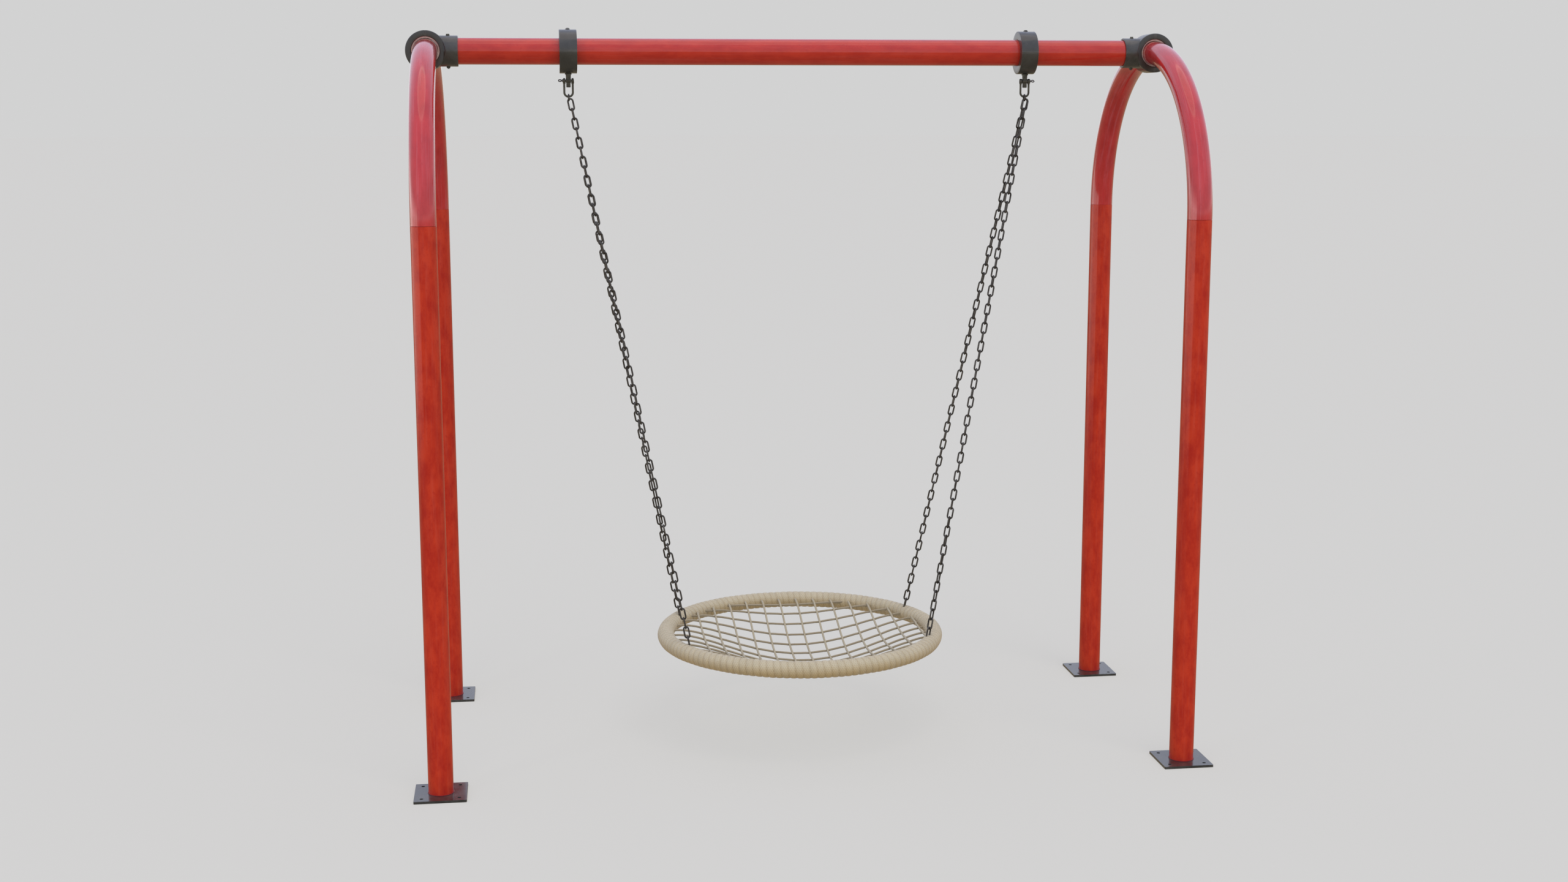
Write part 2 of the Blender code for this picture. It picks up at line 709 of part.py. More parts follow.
def rope_lines(count, pitch, offset):
    """Both edges of each rope, from the first rope to the last."""
    lines = []
    for k in range(count):
        middle = offset + (k - (count - 1) / 2) * pitch
        lines += [middle - NET_ROPE / 2, middle + NET_ROPE / 2]
    return lines


def stretch(start, finish, cuts):
    """From start to finish, or the two sides of the cut that parts it."""
    for cut in cuts:
        if start < cut < finish:
            return [(start, cut - GAP / 2), (cut + GAP / 2, finish)]
    return [(start, finish)]


def patch_name(x, y):
    side = "left" if x < NET_CUTS_X[0] else "middle" if x < NET_CUTS_X[1] else "right"
    return f"net_{'front' if y < NET_CUT_Y else 'rear'}_{side}"


def make_net(rope):
    """Ropes laid in a square grid, joined where they cross, their ends cut to the ring, in six patches."""
    xs = rope_lines(NET_COLUMNS, NET_PITCH_X, NET_OFFSET_X)
    ys = rope_lines(NET_ROWS, NET_PITCH_Y, NET_OFFSET_Y)
    patches = {}

    def vert(patch, x, y, level):
        bm, verts = patch
        key = (round(x, 6), round(y, 6), level)
        if key not in verts:
            height = SEAT_Z - net_sag(x, y) + (level - 0.5) * NET_ROPE
            verts[key] = bm.verts.new((SWING_X + x, y, height))
        return verts[key]

    def slab(corners):
        """One stretch of rope: its top and bottom, with the edges kept for the walls."""
        x = sum(corner[0] for corner in corners) / len(corners)
        y = sum(corner[1] for corner in corners) / len(corners)
        patch = patches.setdefault(patch_name(x, y), (bmesh.new(), {}))
        for level in (0, 1):
            patch[0].faces.new([vert(patch, *corner, level) for corner in corners])

    def reach(line):
        return math.sqrt(NET_R * NET_R - line * line)

    columns = [(xs[k], xs[k + 1]) for k in range(0, len(xs), 2)]
    rows = [(ys[k], ys[k + 1]) for k in range(0, len(ys), 2)]

    def crosses(column, row):
        return max(math.hypot(x, y) for x in column for y in row) < NET_R - NET_EDGE

    for left, right in columns:
        inside = [row for row in rows if crosses((left, right), row)]
        for low, high in inside:
            slab([(left, low), (right, low), (right, high), (left, high)])
        for (_, below), (above, _) in zip(inside, inside[1:]):
            for low, high in stretch(below, above, [NET_CUT_Y]):
                slab([(left, low), (right, low), (right, high), (left, high)])
        for edge, sense in ((inside[0][0], -1), (inside[-1][1], 1)):
            slab([(left, edge), (right, edge), (right, sense * reach(right)), (left, sense * reach(left))])
    def row_ends(low, high, last, sense):
        """How far out a row's two edges reach: to the net's edge, or short of a column it doesn't cross."""
        ends = [reach(high), reach(low)]
        for column in columns:
            near = min(sense * edge for edge in column)
            if sense * last < near < max(ends):
                ends = [min(end, near - NET_CLEAR) for end in ends]
        return ends

    for low, high in rows:
        inside = [column for column in columns if crosses(column, (low, high))]
        for (_, before), (after, _) in zip(inside, inside[1:]):
            for left, right in stretch(before, after, NET_CUTS_X):
                slab([(left, low), (right, low), (right, high), (left, high)])
        for edge, sense in ((inside[0][0], -1), (inside[-1][1], 1)):
            upper, lower = row_ends(low, high, edge, sense)
            slab([(edge, low), (edge, high), (sense * upper, high), (sense * lower, low)])

    for name, patch in patches.items():
        bm, verts = patch
        keys = {made: key for key, made in verts.items()}
        rims = [edge for edge in bm.edges if edge.is_boundary and keys[edge.verts[0]][2] == 0]
        for edge in rims:
            first, second = (keys[end][:2] for end in edge.verts)
            upper = [vert(patch, *second, 1), vert(patch, *first, 1)]
            bm.faces.new((*edge.verts, *upper))
        make_object(name, bm, rope, NET_SMOOTH_ANGLE)


def build():
    clear_scene()
    red = material("red_paint", (0.42, 0.035, 0.02), 0.25)
    black = material("black_gloss_paint", (0.025, 0.028, 0.03), 0.2)
    cast = material("black_casting", (0.03, 0.032, 0.034), 0.35)
    forged = material("dark_forged_steel", (0.04, 0.04, 0.038), 0.4, 0.8)
    zinc = material("zinc_plated_steel", (0.30, 0.30, 0.29), 0.35, 1.0)
    steel = material("chain_steel", (0.10, 0.095, 0.085), 0.4, 1.0)
    nylon = material("bush_nylon", (0.55, 0.53, 0.48), 0.5)
    foam = material("padding_foam", (0.06, 0.06, 0.06), 0.9)
    rope = material("beige_rope", (0.56, 0.48, 0.36), 0.85)

    make_beam(red)
    for side, sign in SIDES:
        make_arch(side, sign, red)
        make_collar(side, sign, cast, zinc)
        make_clamp(side, sign, cast)
        make_lug(side, sign, forged, nylon, zinc)
        make_shackle(side, sign, forged)
        make_shackle_pin(side, sign, zinc)
        make_top_ring(side, sign, steel)
        for end, depth in ENDS:
            make_leg(side, sign, end, depth, red)
            make_base_plate(side, sign, end, depth, black)
            make_chain(side, sign, end, depth, steel)
            make_chain_eye(side, sign, end, depth, steel)
    make_ring(steel, foam, rope)
    make_net(rope)


build()
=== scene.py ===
"""Looks of the nest swing: smooth tubes, castings, real chain links, wound seat ring and rope net.

Metres, +Z up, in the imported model's frame: X along the beam, Y from front to back.
"""
import math

import bmesh
import bpy
import numpy as np
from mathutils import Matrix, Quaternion, Vector


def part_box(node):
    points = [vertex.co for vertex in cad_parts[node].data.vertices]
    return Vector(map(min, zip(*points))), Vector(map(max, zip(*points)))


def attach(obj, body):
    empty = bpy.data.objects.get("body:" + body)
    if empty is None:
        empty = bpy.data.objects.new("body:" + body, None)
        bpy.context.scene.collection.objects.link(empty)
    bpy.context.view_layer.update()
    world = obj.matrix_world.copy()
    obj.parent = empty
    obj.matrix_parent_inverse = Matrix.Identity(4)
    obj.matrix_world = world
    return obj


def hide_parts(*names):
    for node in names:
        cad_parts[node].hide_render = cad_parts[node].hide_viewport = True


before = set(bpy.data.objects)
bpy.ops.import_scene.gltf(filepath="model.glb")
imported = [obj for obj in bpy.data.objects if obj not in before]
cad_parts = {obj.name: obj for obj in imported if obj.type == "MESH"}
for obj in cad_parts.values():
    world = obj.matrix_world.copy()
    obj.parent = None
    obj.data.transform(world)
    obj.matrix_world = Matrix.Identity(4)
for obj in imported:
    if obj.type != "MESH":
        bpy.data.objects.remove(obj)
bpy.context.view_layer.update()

X = Vector((1, 0, 0))
Y = Vector((0, 1, 0))
Z = Vector((0, 0, 1))
SIDES = (("left", -1), ("right", 1))
ENDS = (("front", -1), ("rear", 1))


def middle(node):
    low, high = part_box(node)
    return (low + high) / 2


def extent(node):
    low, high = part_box(node)
    return high - low


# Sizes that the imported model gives
BEAM_Z = middle("beam").z
BEAM_R = extent("beam").y / 2
ARCH_X = middle("right_arch").x
ARCH_R = middle("leg_rear_right").y
LEG_R = extent("leg_rear_right").x / 2
SEAM_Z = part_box("leg_rear_right")[1].z
PLATE_T = extent("base_plate_front_left").z
PLATE_SIDE = extent("base_plate_front_left").x
COLLAR_R = extent("collar_outer_left").z / 2
COLLAR_HALF = extent("collar_outer_left").y / 2
SOCKET_REACH = ARCH_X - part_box("collar_inner_right")[0].x
CLAMP_R = extent("clamp_lower_left").y / 2
CLAMP_HALF = extent("clamp_lower_left").x / 2
SEAT = middle("ring_core")

# Sizes that repeat the part's own. TOP_RING_R and SEAT_R reach to the middle of the wire or tube.
PLATE_HOLE_R = 0.007
PLATE_HOLE_SPACING = 0.142
COLLAR_BORE_R = 0.0496
COLLAR_MOUTH_R = 0.0550
COLLAR_LAND = 0.015            # half of the straight part of its bore
COLLAR_SCREW_Z = 0.066         # above and below the beam's middle
COLLAR_SCREW_SEAT = 0.030      # from the arch's middle outward
SOCKET_R = 0.060
SOCKET_BOLT_X = 0.086          # from the arch's middle inward
PIN_Z = 2.7045                 # the swing's axis
SHACKLE_WIRE_R = 0.0041
SHACKLE_HALF = 0.0169          # half the distance between its two legs
SHACKLE_STRAIGHT = 0.0459      # from the pin down to where the bow starts
EAR_R = 0.00975
EAR_INNER = 0.0124             # the ear's two faces, from the middle of the pin
EAR_OUTER = 0.0209
TOP_RING_R = 0.0116
CHAIN_WIRE_R = 0.0034
LINKS = 58                     # in each chain
LINK_HALF_WIDTH = 0.0098       # half the distance between its two sides
CHAIN_LOW_Z = 0.440
CHAIN_APART = 0.004            # the two chains of a hanger, in their ring, to the front and rear
CHAIN_SHIFT = 0.005            # of every chain, to the right
EYE_ANGLE = 27.0               # of the chain eyes, in degrees from the X axis
EYE_INSET = 0.012
SEAT_R = 0.565
WRAP_R = 0.035
NET_PITCH_X = 0.0762
NET_PITCH_Y = 0.077
NET_LINES = 13                 # ropes each way
NET_OFFSET_X = 0.0545
NET_OFFSET_Y = 0.0055
NET_SAG = 0.130
NET_SAG_POWER = 1.73
NET_SAG_R = 0.540
NET_LOWEST = (0.024, -0.030)
NET_LIFT = 0.0065


# ---------------------------------------------------------------- shapes

class Shape:
    """Grids of points gathered into one mesh."""

    def __init__(self):
        self.points, self.faces, self.uvs, self.tube = [], [], [], []
        self.count = 0

    def grid(self, points, wrap_rows=False, caps=True, uv=(1.0, 1.0), tube=None):
        """Skin rows of points with quads. Each row is a loop, and the rows are one too if wrap_rows.

        uv is how far U runs round a row and V over all the rows. tube holds a second place for each
        point, as if the tube it belongs to were straight: paint that streaks along a tube reads it.
        """
        points = np.asarray(points, float)
        rows, columns = points.shape[:2]
        spans = rows if wrap_rows else rows - 1
        ids = self.count + np.arange(rows * columns).reshape(rows, columns)
        r, c = np.meshgrid(np.arange(spans), np.arange(columns), indexing="ij")
        corners = [(r, c), (r, c + 1), (r + 1, c + 1), (r + 1, c)]
        quads = np.stack([ids[a % rows, b % columns] for a, b in corners], -1)
        self.faces += quads.reshape(-1, 4).tolist()
        places = [np.stack([b / columns * uv[0], a / spans * uv[1]], -1) for a, b in corners]
        self.uvs.append(np.stack(places, -2).reshape(-1, 2))
        if caps and not wrap_rows:
            for row in (0, rows - 1):
                self.faces.append(ids[row].tolist())
                self.uvs.append(np.zeros((columns, 2)))
        self.points.append(points.reshape(-1, 3))
        self.tube.append((points if tube is None else tube).reshape(-1, 3))
        self.count += rows * columns

    def build(self, name, paint, sharp=38.0):
        """An object with this mesh. Edges sharper than this many degrees stay sharp."""
        mesh = bpy.data.meshes.new(name)
        mesh.from_pydata(np.concatenate(self.points).tolist(), [], self.faces)
        layer = mesh.uv_layers.new(name="UVMap")
        layer.data.foreach_set("uv", np.concatenate(self.uvs).astype(np.float32).ravel())
        followed = mesh.attributes.new("tube", "FLOAT_VECTOR", "POINT")
        followed.data.foreach_set("vector", np.concatenate(self.tube).astype(np.float32).ravel())
        bm = bmesh.new()
        bm.from_mesh(mesh)
        bmesh.ops.recalc_face_normals(bm, faces=bm.faces)
        bm.to_mesh(mesh)
        bm.free()
        mesh.materials.append(paint)
        shade(mesh, sharp)
        made = bpy.data.objects.new(name, mesh)
        bpy.context.scene.collection.objects.link(made)
        return made


def shade(mesh, sharp):
    """Smooth shading, but for the edges sharper than this many degrees."""
    mesh.shade_smooth()
    mesh.set_sharp_from_angle(angle=math.radians(sharp))


def full_turn(count):
    """Angles of as many points spread evenly over a circle."""
    return np.linspace(0, math.tau, count, endpoint=False)


def sweep(shape, path, radius, count, normal, closed=False, uv=(1.0, 1.0)):
    """A round rod along a path. normal is square to the path's plane, or nearly upright over it."""
    path = np.asarray(path, float)
    if closed:
        ahead = np.roll(path, -1, 0) - np.roll(path, 1, 0)
    else:
        ahead = np.gradient(path, axis=0)
    ahead /= np.linalg.norm(ahead, axis=1)[:, None]
    side = np.cross(ahead, np.broadcast_to(np.asarray(normal, float), path.shape))
    side /= np.linalg.norm(side, axis=1)[:, None]
    over = np.cross(side, ahead)
    turn = full_turn(count)
    circle = np.cos(turn)[:, None] * side[:, None] + np.sin(turn)[:, None] * over[:, None]
    radius = np.broadcast_to(np.asarray(radius, float), (len(path),))[:, None]
    points = path[:, None] + radius[:, :, None] * circle
    steps = np.linalg.norm(np.diff(path, axis=0), axis=1)
    travelled = np.concatenate([[0], np.cumsum(steps)])[:, None]
    along = np.broadcast_to(travelled, (len(path), count))
    tube = np.stack([radius * np.cos(turn), radius * np.sin(turn), along], -1)
    shape.grid(points, wrap_rows=closed, uv=uv, tube=tube)


def lathe(shape, centre, axis, across, profile, count=48, closed=False, arc=None):
    """(distance along the axis, radius) pairs turned about the axis, from the direction across.

    A full turn is capped at both ends, or closed says that its profile is a loop. An arc, between
    two angles in degrees, takes a loop and is capped where the arc starts and stops.
    """
    centre, axis, across = (np.array(v, float) for v in (centre, axis, across))
    other = np.cross(axis, across)
    along, radius = (np.array(column, float) for column in zip(*profile))
    turn = full_turn(count) if arc is None else np.radians(np.linspace(*arc, count))
    out = np.cos(turn)[:, None] * across + np.sin(turn)[:, None] * other
    points = centre + along[None, :, None] * axis + radius[None, :, None] * out[:, None]
    if arc is None:
        shape.grid(points.transpose(1, 0, 2), wrap_rows=closed)
    else:
        shape.grid(points)


def rounded(profile, size, steps=3):
    """A closed outline with each corner rounded off by up to size."""
    points = [Vector(p) for p in profile]
    made = []
    for k, corner in enumerate(points):
        before, after = (points[j] - corner for j in (k - 1, (k + 1) % len(points)))
        a, b = (corner + way.normalized() * min(size, way.length * 0.45) for way in (before, after))
        for s in range(steps + 1):
            t = s / steps
            made.append(tuple((1 - t) ** 2 * a + 2 * t * (1 - t) * corner + t * t * b))
    return made


def hexagon(shape, centre, axis, across, flat_r, low, high, chamfer=0.0012):
    """A hexagonal head or nut between two heights, its corners rounded off at top and bottom.

    flat_r is from the axis to a flat side, and across points to a corner.
    """
    centre, axis, across = (np.array(v, float) for v in (centre, axis, across))
    other = np.cross(axis, across)
    corner_r = flat_r / math.cos(math.pi / 6)
    rows = []
    for height, share in ((low, 0.97), (low + 0.0004, 1.0), (high - chamfer, 1.0), (high, 0.80)):
        row = []
        for turn in full_turn(24):
            from_flat = turn % (math.pi / 3) - math.pi / 6
            reach = flat_r / math.cos(from_flat)
            if share < 1:
                reach = min(reach, corner_r * share)
            out = math.cos(turn) * across + math.sin(turn) * other
            row.append(centre + height * axis + reach * out)
        rows.append(row)
    shape.grid(np.array(rows))


def apply_modifiers(made):
    """Put the result of an object's modifiers in its mesh."""
    graph = bpy.context.evaluated_depsgraph_get()
    mesh = bpy.data.meshes.new_from_object(made.evaluated_get(graph))
    made.modifiers.clear()
    made.data = mesh


def cut(made, tools):
    """Take the tools' volumes out of an object, and the tools out of the scene."""
    for tool in tools:
        step = made.modifiers.new("cut", "BOOLEAN")
        step.operation, step.solver, step.object = "DIFFERENCE", "EXACT", tool
    apply_modifiers(made)
    for tool in tools:
        bpy.data.objects.remove(tool)


def soften(made, width):
    """Round off the edges sharper than 30 degrees."""
    step = made.modifiers.new("edges", "BEVEL")
    step.width, step.segments, step.limit_method = width, 2, "ANGLE"
    step.angle_limit = math.radians(30)
    apply_modifiers(made)


def settle(piece, body, slot, *nodes):
    """Say which body a piece rides and which nodes it stands for. The slot argument is not used."""
    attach(piece, body)
    if nodes:
        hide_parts(*nodes)


# ---------------------------------------------------------------- materials

class Paint:
    """A node material built by short calls. Each call returns the socket that holds its result."""

    def __init__(self, name, roughness=0.5, metallic=0.0, **constants):
        self.material = bpy.data.materials.new(name)
        self.material.use_nodes = True
        self.tree = self.material.node_tree
        self.shader = self.tree.nodes["Principled BSDF"]
        self.shader.inputs["Roughness"].default_value = roughness
        self.shader.inputs["Metallic"].default_value = metallic
        for socket, value in constants.items():
            self.shader.inputs[socket.replace("_", " ")].default_value = value

    def node(self, kind, **settings):
        made = self.tree.nodes.new("ShaderNode" + kind)
        for key, value in settings.items():
            setattr(made, key, value)
        return made

    def feed(self, socket, value):
        if isinstance(value, bpy.types.NodeSocket):
            self.tree.links.new(value, socket)
        elif isinstance(value, (tuple, list)) and len(value) == 3 and socket.type == "RGBA":
            socket.default_value = (*value, 1.0)
        else:
            socket.default_value = value

    def set(self, socket, value):
        self.feed(self.shader.inputs[socket], value)

    def place(self, kind="Object"):
        return self.node("TexCoord").outputs[kind]

    def tube(self):
        """Where the point would be if its tube stood straight along Z. Shape.grid keeps it."""
        return self.node("Attribute", attribute_name="tube").outputs["Vector"]

    def scaled(self, vector, scale):
        made = self.node("Mapping")
        self.feed(made.inputs["Vector"], vector)
        made.inputs["Scale"].default_value = scale
        return made.outputs["Vector"]

    def noise(self, vector, scale, detail=3.0, roughness=0.55):
        made = self.node("TexNoise")
        self.feed(made.inputs["Vector"], vector)
        for socket, value in (("Scale", scale), ("Detail", detail), ("Roughness", roughness)):
            made.inputs[socket].default_value = value
        return made.outputs["Fac"]

    def math(self, operation, a, b=0.0, clamp=False):
        made = self.node("Math", operation=operation, use_clamp=clamp)
        self.feed(made.inputs[0], a)
        self.feed(made.inputs[1], b)
        return made.outputs[0]

    def remap(self, value, low, high, to_low=0.0, to_high=1.0):
        made = self.node("MapRange")
        self.feed(made.inputs["Value"], value)
        ends = {"From Min": low, "From Max": high, "To Min": to_low, "To Max": to_high}
        for socket, number in ends.items():
            made.inputs[socket].default_value = number
        return made.outputs["Result"]

    def mix(self, share, a, b):
        """From colour a, at share 0, to colour b, at 1."""
        made = self.node("Mix", data_type="RGBA")
        colour_a, colour_b = (socket for socket in made.inputs if socket.type == "RGBA")
        self.feed(made.inputs["Factor"], share)
        self.feed(colour_a, a)
        self.feed(colour_b, b)
        return next(socket for socket in made.outputs if socket.type == "RGBA")

    def split(self, vector):
        made = self.node("SeparateXYZ")
        self.feed(made.inputs[0], vector)
        return made.outputs

    def bump(self, height, distance, strength):
        made = self.node("Bump")
        made.inputs["Strength"].default_value = strength
        made.inputs["Distance"].default_value = distance
        self.feed(made.inputs["Height"], height)
        return made.outputs["Normal"]


def dimmed(colour, *shares):
    """A colour times one share, or a share for each channel."""
    return tuple(channel * share for channel, share in zip(colour, shares * (3 // len(shares))))


def red_paint(name, base, deep, pale, roughness, streaks, coat):
    """Gloss paint over tube: clouds of deep and base, pale streaks of painted sheen along it, dark specks.
    """
    paint = Paint(name, IOR=1.38, Coat_Weight=coat, Coat_Roughness=0.08, Coat_IOR=1.47)
    where = paint.tube()
    cloudy = paint.noise(paint.scaled(where, (20, 20, 9)), 1.0, 5.0, 0.65)
    drawn = paint.noise(paint.scaled(where, (85, 85, 3.2)), 1.0, 3.0, 0.65)
    colour = paint.mix(paint.remap(cloudy, 0.36, 0.60), deep, base)
    # Painted sheen: pale streaks along the tube, mixed into the colour, that stand in for reflection.
    painted_sheen = paint.math("MULTIPLY", paint.remap(drawn, 0.50, 0.70), streaks)
    colour = paint.mix(painted_sheen, colour, pale)
    specks = paint.noise(paint.scaled(where, (95, 95, 60)), 1.0)
    colour = paint.mix(paint.remap(specks, 0.60, 0.70, 0.0, 0.55), colour, deep)
    paint.set("Base Color", colour)
    paint.set("Roughness", paint.remap(drawn, 0.3, 0.75, roughness * 0.75, roughness * 1.5))
    peel = paint.noise(paint.scaled(where, (170, 170, 130)), 1.0, 2.0, 0.5)
    paint.set("Normal", paint.bump(peel, 0.0004, 0.35))
    return paint.material


def cast_paint(name, base, worn, roughness):
    """Satin black coat on a sand casting: fine grain, blotches, worn edges."""
    paint = Paint(name, IOR=1.5, Coat_Weight=0.35, Coat_Roughness=0.18)
    where = paint.place()
    blotch = paint.noise(where, 24.0, 4.0, 0.6)
    grain = paint.noise(where, 900.0, 2.0, 0.6)
    edge = paint.node("NewGeometry").outputs["Pointiness"]
    rubbed = paint.math("MULTIPLY", paint.remap(edge, 0.515, 0.58), paint.remap(blotch, 0.35, 0.6), True)
    colour = paint.mix(paint.remap(blotch, 0.3, 0.7), base, dimmed(base, 1.55))
    paint.set("Base Color", paint.mix(paint.math("MULTIPLY", rubbed, 0.6), colour, worn))
    paint.set("Roughness", paint.remap(grain, 0.2, 0.8, roughness * 0.7, roughness * 1.35))
    lumps = paint.math("ADD", paint.math("MULTIPLY", grain, 0.35), paint.noise(where, 210.0, 2.0))
    paint.set("Normal", paint.bump(lumps, 0.0005, 0.4))
    return paint.material


def steel(name, base, stain, metallic, roughness):
    """Bare or plated steel with stains and fine marks."""
    paint = Paint(name, metallic=metallic)
    where = paint.place()
    patches = paint.noise(where, 45.0, 5.0, 0.65)
    grain = paint.noise(where, 320.0, 3.0, 0.6)
    marks = paint.math("ADD", paint.math("MULTIPLY", patches, 0.7), paint.math("MULTIPLY", grain, 0.3))
    paint.set("Base Color", paint.mix(paint.remap(marks, 0.38, 0.64), stain, base))
    paint.set("Roughness", paint.remap(marks, 0.3, 0.7, roughness * 1.35, roughness * 0.75))
    paint.set("Normal", paint.bump(grain, 0.0003, 0.45))
    return paint.material


def plate_paint(name, base, dusty):
    """Thick gloss black over hot-rolled plate."""
    paint = Paint(name, IOR=1.45, Coat_Weight=0.45, Coat_Roughness=0.07)
    where = paint.place()
    dust = paint.noise(where, 14.0, 5.0, 0.7)
    ripple = paint.noise(where, 60.0)
    paint.set("Base Color", paint.mix(paint.remap(dust, 0.42, 0.78), base, dusty))
    paint.set("Roughness", paint.remap(dust, 0.3, 0.8, 0.14, 0.34))
    paint.set("Normal", paint.bump(ripple, 0.0004, 0.20))
    return paint.material


def rope_cover(name, top, under, cells, depth, groove=0.0):
    """Braided polyester: two sets of strands crossing on the slant, each with its fibres.

    top and under are its colours where it faces up and down: painted light on top, and painted shade,
    warmed as by the ground, underneath. cells is how many strands fit in one unit of U and of V, and
    groove how much darker painted shade makes the seam between two turns.
    """
    paint = Paint(name, IOR=1.45, Sheen_Weight=0.15, Sheen_Roughness=0.5)
    turns, along, _ = paint.split(paint.place("UV"))
    across = paint.math("MULTIPLY", turns, cells[0])
    along = paint.math("MULTIPLY", along, cells[1])
    strands = []
    for operation in ("ADD", "SUBTRACT"):
        slant = paint.math(operation, across, along)
        wave = paint.math("SINE", paint.math("MULTIPLY", slant, math.pi))
        strands.append(paint.math("ABSOLUTE", wave))
    weave = paint.math("MULTIPLY", *strands)
    between = paint.math("MAXIMUM", *strands)
    where = paint.place()
    fibres = paint.noise(where, 1400.0, 2.0, 0.6)
    soiled = paint.noise(where, 13.0, 5.0, 0.65)
    # Painted light and shade: the top lighter, the underside darker and warmer, by which way the surface
    # faces.
    facing = paint.split(paint.place("Normal"))[2]
    colour = paint.mix(paint.remap(facing, -0.55, 0.60), under, top)
    grey = dimmed(top, 0.72, 0.70, 0.66)
    colour = paint.mix(paint.remap(soiled, 0.45, 0.75, 0.0, 0.45), colour, grey)
    # Painted shade in the gaps between strands and, with groove, in the seams between turns.
    shade_colour = dimmed(under, 0.55, 0.50, 0.45)
    colour = paint.mix(paint.remap(between, 0.10, 0.60, 0.75, 0.0), colour, shade_colour)
    if groove:
        off_crown = paint.math("ABSOLUTE", paint.math("SUBTRACT", paint.math("FRACT", turns), 0.5))
        colour = paint.mix(paint.remap(off_crown, 0.30, 0.48, 0.0, groove), colour, shade_colour)
    paint.set("Base Color", colour)
    paint.set("Roughness", paint.remap(fibres, 0.2, 0.8, 0.78, 0.95))
    height = paint.math("ADD", weave, paint.math("MULTIPLY", fibres, 0.25))
    paint.set("Normal", paint.bump(height, depth, 0.8))
    return paint.material


def nylon(name, colour):
    """Dull moulded plastic."""
    paint = Paint(name, IOR=1.53, Subsurface_Weight=0.05)
    where = paint.place()
    tone = paint.noise(where, 60.0)
    paint.set("Base Color", paint.mix(paint.remap(tone, 0.35, 0.7), colour, dimmed(colour, 0.82)))
    paint.set("Roughness", paint.remap(tone, 0.3, 0.7, 0.35, 0.5))
    paint.set("Normal", paint.bump(paint.noise(where, 700.0, 2.0), 0.0002, 0.3))
    return paint.material


# Beam, arches and legs carry one red paint in three copies. Their tints and pale streaks are set apart to
# paint in the different reflection each tube shows.
# name, base, deep, pale (colour of the painted sheen), roughness, streaks (share of the painted sheen),
# coat
BEAM_PAINT = red_paint(
    "beam_paint", (0.43, 0.024, 0.011), (0.36, 0.015, 0.008), (0.49, 0.09, 0.07), 0.12, 0.14, 0.6
)
ARCH_PAINT = red_paint(
    "arch_paint", (0.44, 0.018, 0.019), (0.36, 0.009, 0.011), (0.52, 0.12, 0.14), 0.22, 0.30, 1.0
)
LEG_PAINT = red_paint(
    "leg_paint", (0.46, 0.031, 0.011), (0.35, 0.014, 0.007), (0.47, 0.07, 0.04), 0.15, 0.20, 0.0
)
WELD_PAINT = red_paint(
    "weld_paint", (0.20, 0.007, 0.009), (0.14, 0.005, 0.007), (0.28, 0.03, 0.03), 0.30, 0.10, 0.0
)
CASTING = cast_paint("black_casting", (0.024, 0.023, 0.019), (0.13, 0.12, 0.10), 0.29)
PLATE_PAINT = plate_paint("plate_gloss_black", (0.020, 0.021, 0.021), (0.060, 0.060, 0.055))

# name, base, stain, metallic, roughness
FORGED = steel("forged_dark", (0.110, 0.106, 0.078), (0.050, 0.046, 0.033), 0.45, 0.44)
CHAIN_STEEL = steel("chain_dark_galvanised", (0.120, 0.112, 0.098), (0.050, 0.044, 0.037), 0.80, 0.42)
ZINC = steel("zinc_dull", (0.22, 0.22, 0.21), (0.10, 0.095, 0.085), 0.9, 0.38)
PALE_NYLON = nylon("pale_nylon", (0.84, 0.79, 0.68))
BUSH_NYLON = nylon("bush_nylon", (0.55, 0.53, 0.48))

# name, top (painted light), under (painted shade), cells, depth, groove (painted shade in the seams)
WINDING = rope_cover(
    "winding_rope", (0.440, 0.388, 0.272), (0.41, 0.285, 0.122), (3.0, 14.0), 0.0010, 0.22
)
COLUMN_ROPE = rope_cover("net_rope_over", (0.385, 0.335, 0.225), (0.29, 0.235, 0.145), (4.0, 1.0), 0.0007)
# The crosswise ropes, which pass under, are the lengthwise rope painted about a fifth darker: painted
# shade.
SHADED_ROW_ROPE = rope_cover("net_rope_under_shaded", (0.315, 0.265, 0.178), (0.25, 0.200, 0.125), (4.0, 1.0), 0.0007)


# ---------------------------------------------------------------- frame

def make_beam():
    """The straight tube, which ends unseen inside the two sockets."""
    end_inset, count = 0.078, 90
    half = ARCH_X - end_inset
    path = np.stack([np.linspace(-half, half, count), np.zeros(count), np.full(count, BEAM_Z)], -1)
    shape = Shape()
    sweep(shape, path, BEAM_R, 72, Z)
    settle(shape.build("beam_tube", BEAM_PAINT), "frame", "red_paint", "beam")


def make_arch(side, sign):
    """The bent tube, from seam to seam."""
    turn = np.radians(np.linspace(0, 180, 121))
    x = np.full(len(turn), sign * ARCH_X)
    path = np.stack([x, -ARCH_R * np.cos(turn), SEAM_Z + ARCH_R * np.sin(turn)], -1)
    shape = Shape()
    sweep(shape, path, LEG_R, 64, X)
    settle(shape.build(f"arch_tube_{side}", ARCH_PAINT), "frame", "red_paint", f"{side}_arch")


def make_leg(side, sign, end, depth):
    """The straight tube from its plate up to the seam, where its edge is rounded off."""
    gap, edge_start, edge_drop = 0.0004, 0.0016, 0.0010
    straight = np.linspace(PLATE_T + 0.01, SEAM_Z - edge_start, 60)
    z = np.concatenate([[PLATE_T], straight, [SEAM_Z - gap]])
    path = np.stack([np.full(len(z), sign * ARCH_X), np.full(len(z), depth * ARCH_R), z], -1)
    radius = np.full(len(z), LEG_R)
    radius[-1] -= edge_drop
    shape = Shape()
    sweep(shape, path, radius, 64, Y)
    made = shape.build(f"leg_tube_{end}_{side}", LEG_PAINT)
    settle(made, "frame", "red_paint", f"leg_{end}_{side}")


